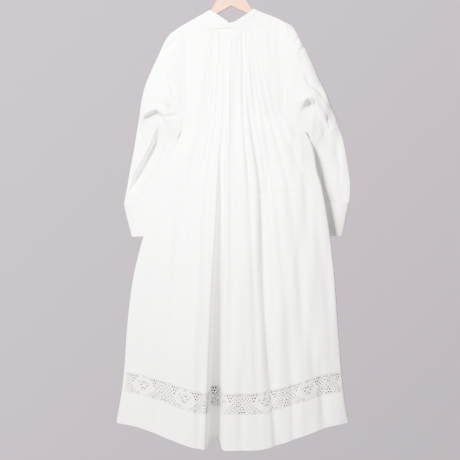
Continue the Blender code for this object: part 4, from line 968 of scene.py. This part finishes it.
def sleeve_grid(side, table, overhang, creases):
    """A sleeve's cloth: its rings joined by smooth lines, an overhanging fold, and creases on both faces."""
    angles = ring_angles()
    at, loop = armhole_loop(side)
    first = np.stack([np.interp(angles, at, loop[:, k], period=2 * math.pi) for k in range(3)], axis=-1)
    rings = np.array([first] + [sleeve_ring(side, row, angles) for row in table])
    centres = rings.mean(axis=1)
    stations = np.concatenate([[0], np.cumsum(np.linalg.norm(np.diff(centres, axis=0), axis=1))])
    way = np.linspace(0, stations[-1], SLEEVE_STEPS[0])
    grid = smooth_line(stations, rings, way)
    x, drop = grid[..., 0], -grid[..., 2]
    bulge = np.sin(angles)[None, :] * np.ones_like(x)
    front = np.clip(bulge, 0, 1) ** RING_ROUNDNESS
    back = np.clip(-bulge, 0, 1) ** RING_ROUNDNESS
    from_armhole = step(0, ARMHOLE_FADE, way)[:, None]
    grid[..., 1] += overhang_depth(overhang, x, drop) * front * from_armhole
    grid[..., 1] += CREASE_GAIN * crease_field(creases, x, drop) * np.minimum(2 * front, 1) * from_armhole
    behind = crease_field(creases, x + side * SLEEVE_BACK_SHIFT[0], drop - SLEEVE_BACK_SHIFT[1])
    grid[..., 1] -= SLEEVE_BACK_SHARE * behind * np.minimum(2 * back, 1) * from_armhole
    grid[..., 1] += ripple(x, drop, SLEEVE_WAVES) * (front - back) * from_armhole
    return grid


def cuff_grid(side, table):
    """A cuff's cloth, flatter than the sleeve."""
    angles = ring_angles()
    rings = np.array([sleeve_ring(side, row, angles) for row in table])
    grid = smooth_line(np.arange(len(table)), rings, np.linspace(0, len(table) - 1, CUFF_ROWS))
    way = np.sin(angles)[None, :] * np.ones_like(grid[..., 0])
    grid[..., 1] += way * ripple(grid[..., 0], grid[..., 2], CUFF_WAVES)
    return grid


def stitch_rows(name, lines, finish):
    """Rows of machine stitches: each stitch is a small spindle of eight faces along its row.

    A row is points along the cloth and the cloth's outward normals there.
    """
    points, faces = [], []
    for line, normals in lines:
        lengths = np.concatenate([[0], np.cumsum(np.linalg.norm(np.diff(line, axis=0), axis=1))])
        count = int(lengths[-1] / STITCH_PITCH)
        if count < 1:
            continue
        at = (np.arange(count) + 0.5) * lengths[-1] / count

        def along_row(values, places):
            return np.stack([np.interp(places, lengths, values[:, k]) for k in range(3)], axis=-1)

        out = unit(along_row(normals, at))
        along = unit(along_row(line, at + STITCH_AHEAD) - along_row(line, at - STITCH_AHEAD))
        aside = unit(np.cross(along, out))
        centre = along_row(line, at) + out * STITCH_LIFT
        first = len(points)
        corners = np.stack([centre - along * STITCH_HALF, centre + along * STITCH_HALF,
                            centre - aside * STITCH_WIDE, centre + aside * STITCH_WIDE,
                            centre - out * STITCH_WIDE, centre + out * STITCH_WIDE], axis=1)
        points.extend(corners.reshape(-1, 3))
        faces.extend((first + 6 * np.arange(count)[:, None, None] + STITCH_FACES).reshape(-1, 3))
    mesh = bpy.data.meshes.new(name)
    mesh.from_pydata([tuple(map(float, p)) for p in points], [], [tuple(map(int, f)) for f in faces])
    mesh.shade_smooth()
    mesh.materials.append(finish)
    return link_piece(name, mesh)


def add_node(nodes, kind, inputs=None, **settings):
    """A new node with its settings and the values of its inputs."""
    node = nodes.new(kind)
    for key, value in settings.items():
        setattr(node, key, value)
    for socket, value in (inputs or {}).items():
        node.inputs[socket].default_value = value
    return node


def add_ramp(nodes, positions, colours):
    """A ramp between two colours at two positions."""
    ramp = nodes.new("ShaderNodeValToRGB")
    for k in range(2):
        ramp.color_ramp.elements[k].position = positions[k]
        ramp.color_ramp.elements[k].color = (*colours[k], 1)
    return ramp


def new_finish(name, values):
    """A new material with the values on its shader, and its nodes, links and shader."""
    made = bpy.data.materials.new(name)
    made.use_nodes = True
    nodes, links = made.node_tree.nodes, made.node_tree.links
    shader = nodes["Principled BSDF"]
    for socket, value in values.items():
        shader.inputs[socket].default_value = value
    return made, nodes, links, shader


def woven(name, colour, shade, thread, weave, crease):
    """Matt cotton: threads, faint soft creases and an uneven white.

    The threads' height is the larger of two waves, along and across the cloth's own map. The creases are
    noise drawn out downwards, and the colour goes from shade to colour over broad noise.
    """
    made, nodes, links, shader = new_finish(name, COTTON)
    cloth = add_node(nodes, "ShaderNodeUVMap", uv_map="cloth")
    place = add_node(nodes, "ShaderNodeTexCoord")
    stretch = add_node(nodes, "ShaderNodeMapping", {"Scale": (1, 1, 0.35)})
    links.new(place.outputs["Object"], stretch.inputs["Vector"])
    crossed = add_node(nodes, "ShaderNodeMath", operation="MAXIMUM")
    for k, direction in enumerate("XY"):
        wave = add_node(nodes, "ShaderNodeTexWave", {"Scale": WAVES_PER_SCALE / thread, "Distortion": 0.6},
                        wave_type="BANDS", bands_direction=direction)
        links.new(cloth.outputs["UV"], wave.inputs["Vector"])
        links.new(wave.outputs["Fac"], crossed.inputs[k])
    threads = add_node(nodes, "ShaderNodeBump", {"Strength": weave, "Distance": thread / 4})
    links.new(crossed.outputs[0], threads.inputs["Height"])
    soft = add_node(nodes, "ShaderNodeTexNoise", {"Scale": 22, "Detail": 4})
    links.new(stretch.outputs["Vector"], soft.inputs["Vector"])
    folds = add_node(nodes, "ShaderNodeBump", {"Strength": crease, "Distance": 0.004})
    links.new(soft.outputs["Fac"], folds.inputs["Height"])
    links.new(threads.outputs["Normal"], folds.inputs["Normal"])
    links.new(folds.outputs["Normal"], shader.inputs["Normal"])
    patch = add_node(nodes, "ShaderNodeTexNoise", {"Scale": 5, "Detail": 3})
    links.new(place.outputs["Object"], patch.inputs["Vector"])
    ramp = add_ramp(nodes, (0.3, 0.7), (shade, colour))
    links.new(patch.outputs["Fac"], ramp.inputs["Fac"])
    links.new(ramp.outputs["Color"], shader.inputs["Base Color"])
    return made


def beech():
    """Pale beech: fine noise drawn out along the arms is its grain, in colour and height, under lacquer."""
    made, nodes, links, shader = new_finish("pale beech", LACQUERED_WOOD)
    place = add_node(nodes, "ShaderNodeTexCoord")
    stretch = add_node(nodes, "ShaderNodeMapping", {"Scale": (4, 30, 45)})
    links.new(place.outputs["Object"], stretch.inputs["Vector"])
    grain = add_node(nodes, "ShaderNodeTexNoise", {"Scale": 3, "Detail": 6})
    links.new(stretch.outputs["Vector"], grain.inputs["Vector"])
    ramp = add_ramp(nodes, (0.32, 0.68), WOOD_COLOURS)
    links.new(grain.outputs["Fac"], ramp.inputs["Fac"])
    links.new(ramp.outputs["Color"], shader.inputs["Base Color"])
    bump = add_node(nodes, "ShaderNodeBump", {"Strength": 0.15, "Distance": 0.0005})
    links.new(grain.outputs["Fac"], bump.inputs["Height"])
    links.new(bump.outputs["Normal"], shader.inputs["Normal"])
    return made


def steel():
    """Bright steel wire whose gloss varies with fine noise."""
    made, nodes, links, shader = new_finish("bright steel wire", DRAWN_WIRE)
    place = add_node(nodes, "ShaderNodeTexCoord")
    marks = add_node(nodes, "ShaderNodeTexNoise", {"Scale": 400})
    links.new(place.outputs["Object"], marks.inputs["Vector"])
    gloss = add_node(nodes, "ShaderNodeMapRange", {"To Min": 0.18, "To Max": 0.36})
    links.new(marks.outputs["Fac"], gloss.inputs["Value"])
    links.new(gloss.outputs["Result"], shader.inputs["Roughness"])
    return made


cotton = woven("white cotton", WHITE, WHITE_SHADE, thread=0.0006, weave=0.25, crease=0.10)
band_cotton = woven("white cotton band", WHITE, WHITE_SHADE, thread=0.0006, weave=0.25, crease=0.05)
lace = woven("cotton bobbin lace", LACE_WHITE, LACE_WHITE_SHADE, thread=0.0012, weave=0.8, crease=0.05)
thread = woven("sewing thread", THREAD_WHITE, WHITE, thread=0.0004, weave=0.2, crease=0.0)
# painted shade: the dark finish on the faces that fill the lace's fine holes
painted_lace_shade = new_finish("painted shade in the holes of the lace", PAINTED_LACE_SHADE)[0]
stitches = []


def dress(piece, node):
    """Hides the solid of the node, in whose place the piece stands; the piece is not used."""
    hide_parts(node)


def stitch_row(grid, normals, row, first=0, last=None):
    """Stitches along part of one row of a grid."""
    stitches.append((grid[row, first:last], normals[row, first:last]))


def stitch_column(grid, normals, col, first=0, last=None):
    """Stitches along part of one column of a grid."""
    stitches.append((grid[first:last, col], normals[first:last, col]))


def dress_body(side, name):
    """The panel, the lace and the hem band of the front (side -1) or the back (side 1)."""
    grid = body_grid(side, YOKE_SEAM - TUCK, LACE_TOP, PANEL_ROWS[name], FINER[name])
    dress(add_grid(name + "_cloth", grid, cotton, flip=side > 0), name + "_panel")
    stitch_row(grid, -side * grid_normals(grid, False), PANEL_ROWS[name] - 1, SIDE_MARGIN, -SIDE_MARGIN)

    grid = body_grid(side, LACE_TOP, LACE_BOTTOM, LACE_FINE_ROWS, LACE_FINER)
    # The lace's fine holes stay as faces in a dark finish, painted shade; only the largest gaps are cut
    keep, holes = lace_cells(grid.shape[1] - 1, grid.shape[0] - 1, LACE_FINER)
    band = add_grid("lace_cloth_" + name, grid, lace, flip=side > 0, keep=keep, second=(painted_lace_shade, holes))
    dress(band, "lace_" + name)

    grid = body_grid(side, LACE_BOTTOM, HEM_EDGE, HEM_ROWS, FINER[name])
    dress(add_grid("hem_cloth_" + name, grid, cotton, flip=side > 0), "hem_" + name)
    normals = -side * grid_normals(grid, False)
    for row in HEM_STITCH_ROWS:
        stitch_row(grid, normals, row, SIDE_MARGIN, -SIDE_MARGIN)


def dress_arm(side, name, table, cuff, overhang, creases):
    """The sleeve, the cuff and the yoke of one side, -1 for the left."""
    grid = sleeve_grid(side, table, overhang, creases)
    piece = add_grid("sleeve_cloth_" + name, grid, cotton, closed=True, flip=side < 0)
    dress(piece, "sleeve_" + name)

    grid = cuff_grid(side, cuff)
    piece = add_grid("cuff_cloth_" + name, grid, band_cotton, closed=True, flip=side < 0)
    dress(piece, "cuff_" + name)
    normals = side * grid_normals(grid, True)
    around = [np.concatenate([values, values[:, :1]], axis=1) for values in (grid, normals)]
    for row in CUFF_STITCH_ROWS:
        stitch_row(*around, row)

    grid = yoke_cloth(side)
    dress(add_grid("yoke_cloth_" + name, grid, cotton, flip=side < 0), "yoke_" + name)
    normals = side * grid_normals(grid, False)
    for col in YOKE_STITCH_COLUMNS:
        stitch_column(grid, normals, col)


def dress_neckband():
    """The neckband: a thin wall between its two edges, thinner at them, folded round as one cloth."""
    upper = np.concatenate([neck_edge(NECK_LEFT, "upper"), neck_edge(NECK_RIGHT, "upper")[::-1]])
    lower = np.concatenate([neck_edge(NECK_LEFT, "lower"), neck_edge(NECK_RIGHT, "lower")[::-1]])
    lower += unit(upper - lower) * SEAM
    row_count, columns = BAND_STEPS
    way = np.linspace(0, len(upper) - 1, columns)
    top, bottom = [smooth_line(np.arange(len(edge)), edge, way) for edge in (upper, lower)]
    grid = np.array([top * (1 - t) + bottom * t for t in np.linspace(0, 1, row_count)])
    out = grid_normals(grid, False)
    out = out if np.sum(out[..., 1] * grid[..., 1]) > 0 else -out
    thin = 0.5 + 0.5 * np.sin(np.linspace(0, math.pi, row_count))[:, None, None] ** 0.5
    outer = grid - out * (1 - thin) * BAND_WALL / 2
    inner = grid - out * (1 + thin) * BAND_WALL / 2 * BAND_INSIDE
    dress(add_grid("neckband_cloth", shell(outer, inner), band_cotton), "neckband")
    for row in BAND_STITCH_ROWS:
        stitch_row(grid, out, row)


def dress_tab():
    """The tab: a thin wall on the front panel's cloth, sewn down along three edges."""
    row_count, columns = TAB_STEPS
    x = np.linspace(TAB["left"], TAB["right"], columns)
    lines = [body_points(-1, drop, x) for drop in np.linspace(TAB["top"], TAB["bottom"], row_count)]
    grid = np.array(lines) - np.array((0, TAB_LIFT, 0))
    front = grid - np.array((0, TAB_WALL, 0))
    dress(add_grid("tab_cloth", shell(front, grid), band_cotton), "front_tab")
    out = np.zeros_like(front)
    out[..., 1] = -1
    stitch_row(front, out, row_count - TAB_MARGIN, TAB_MARGIN, columns - TAB_MARGIN)
    stitch_column(front, out, TAB_MARGIN, 1, row_count - TAB_MARGIN)
    stitch_column(front, out, columns - 1 - TAB_MARGIN, 1, row_count - TAB_MARGIN)


def add_floor():
    """A plain pale round floor."""
    angles = [2 * math.pi * k / FLOOR_SIDES for k in range(FLOOR_SIDES)]
    mesh = bpy.data.meshes.new("floor")
    ring = [(FLOOR_RADIUS * math.cos(angle), FLOOR_RADIUS * math.sin(angle), FLOOR_Z) for angle in angles]
    mesh.from_pydata(ring, [], [tuple(range(FLOOR_SIDES))])
    mesh.materials.append(new_finish("pale floor", FLOOR_PAINT)[0])
    floor = bpy.data.objects.new("floor", mesh)
    bpy.context.scene.collection.objects.link(floor)


def add_room():
    """A pale grey room, lighter at the upper left: painted light on the backdrop, as of a wall lit from there,
    which also lights the smock with the same slant. It is dimmer as a light than as it is seen.
    """
    world = bpy.data.worlds.new("pale grey room")
    bpy.context.scene.world = world
    world.use_nodes = True
    nodes, links = world.node_tree.nodes, world.node_tree.links
    place = add_node(nodes, "ShaderNodeTexCoord")
    parts = add_node(nodes, "ShaderNodeSeparateXYZ")
    links.new(place.outputs["Generated"], parts.inputs["Vector"])
    # painted light: the backdrop as seen is lighter towards the upper left, as a wall lit from there
    slant = add_node(nodes, "ShaderNodeMath", operation="SUBTRACT")
    links.new(parts.outputs["X"], slant.inputs[0])
    links.new(parts.outputs["Z"], slant.inputs[1])
    across = add_node(nodes, "ShaderNodeMapRange", {"From Min": ROOM_SLANT[0], "From Max": ROOM_SLANT[1]})
    links.new(slant.outputs["Value"], across.inputs["Value"])
    ramp = add_ramp(nodes, (0, 1), ROOM_COLOURS)
    links.new(across.outputs["Result"], ramp.inputs["Fac"])
    links.new(ramp.outputs["Color"], nodes["Background"].inputs["Color"])
    ray = add_node(nodes, "ShaderNodeLightPath")
    dim = add_node(nodes, "ShaderNodeMapRange", {"To Min": AMBIENT, "To Max": 1.0})
    links.new(ray.outputs["Is Camera Ray"], dim.inputs["Value"])
    links.new(dim.outputs["Result"], nodes["Background"].inputs["Strength"])


def area_light(name, place, target, size, power):
    """A square soft light that faces the target."""
    data = bpy.data.lights.new(name, "AREA")
    data.size = size
    data.energy = power
    data.color = LIGHT_COLOUR
    data.spread = LIGHT_SPREAD
    lamp = bpy.data.objects.new(name, data)
    lamp.visible_camera = False
    lamp.location = place
    aim = np.array(target) - np.array(place)
    flat = math.hypot(aim[0], aim[1])
    lamp.rotation_euler = (math.atan2(flat, -aim[2]), 0, math.atan2(aim[1], aim[0]) - math.pi / 2)
    bpy.context.scene.collection.objects.link(lamp)


def add_camera():
    """A level camera in front of the smock, which takes in what the photograph shows."""
    data = bpy.data.cameras.new("camera")
    data.sensor_width = SENSOR
    data.lens = SENSOR / (2 * PICTURE_HALF / CAMERA_DISTANCE)
    camera = bpy.data.objects.new("camera", data)
    camera.location = (0, -CAMERA_DISTANCE, -CAMERA_DROP)
    camera.rotation_euler = (math.pi / 2, 0, 0)
    bpy.context.scene.collection.objects.link(camera)
    bpy.context.scene.camera = camera


dress_body(-1, "front")
dress_body(1, "back")
dress_arm(-1, "left", LEFT_SLEEVE, LEFT_CUFF, LEFT_OVERHANG, LEFT_SLEEVE_CREASES)
dress_arm(1, "right", RIGHT_SLEEVE, RIGHT_CUFF, RIGHT_OVERHANG, RIGHT_SLEEVE_CREASES)
dress_neckband()
dress_tab()
sewing = stitch_rows("stitches", stitches, thread)
for node, finish in (("hanger_wood", beech()), ("hanger_hook", steel())):
    for material_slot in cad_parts[node].material_slots:
        material_slot.material = finish

add_floor()
add_room()
for light in LIGHTS:
    area_light(**light)
add_camera()
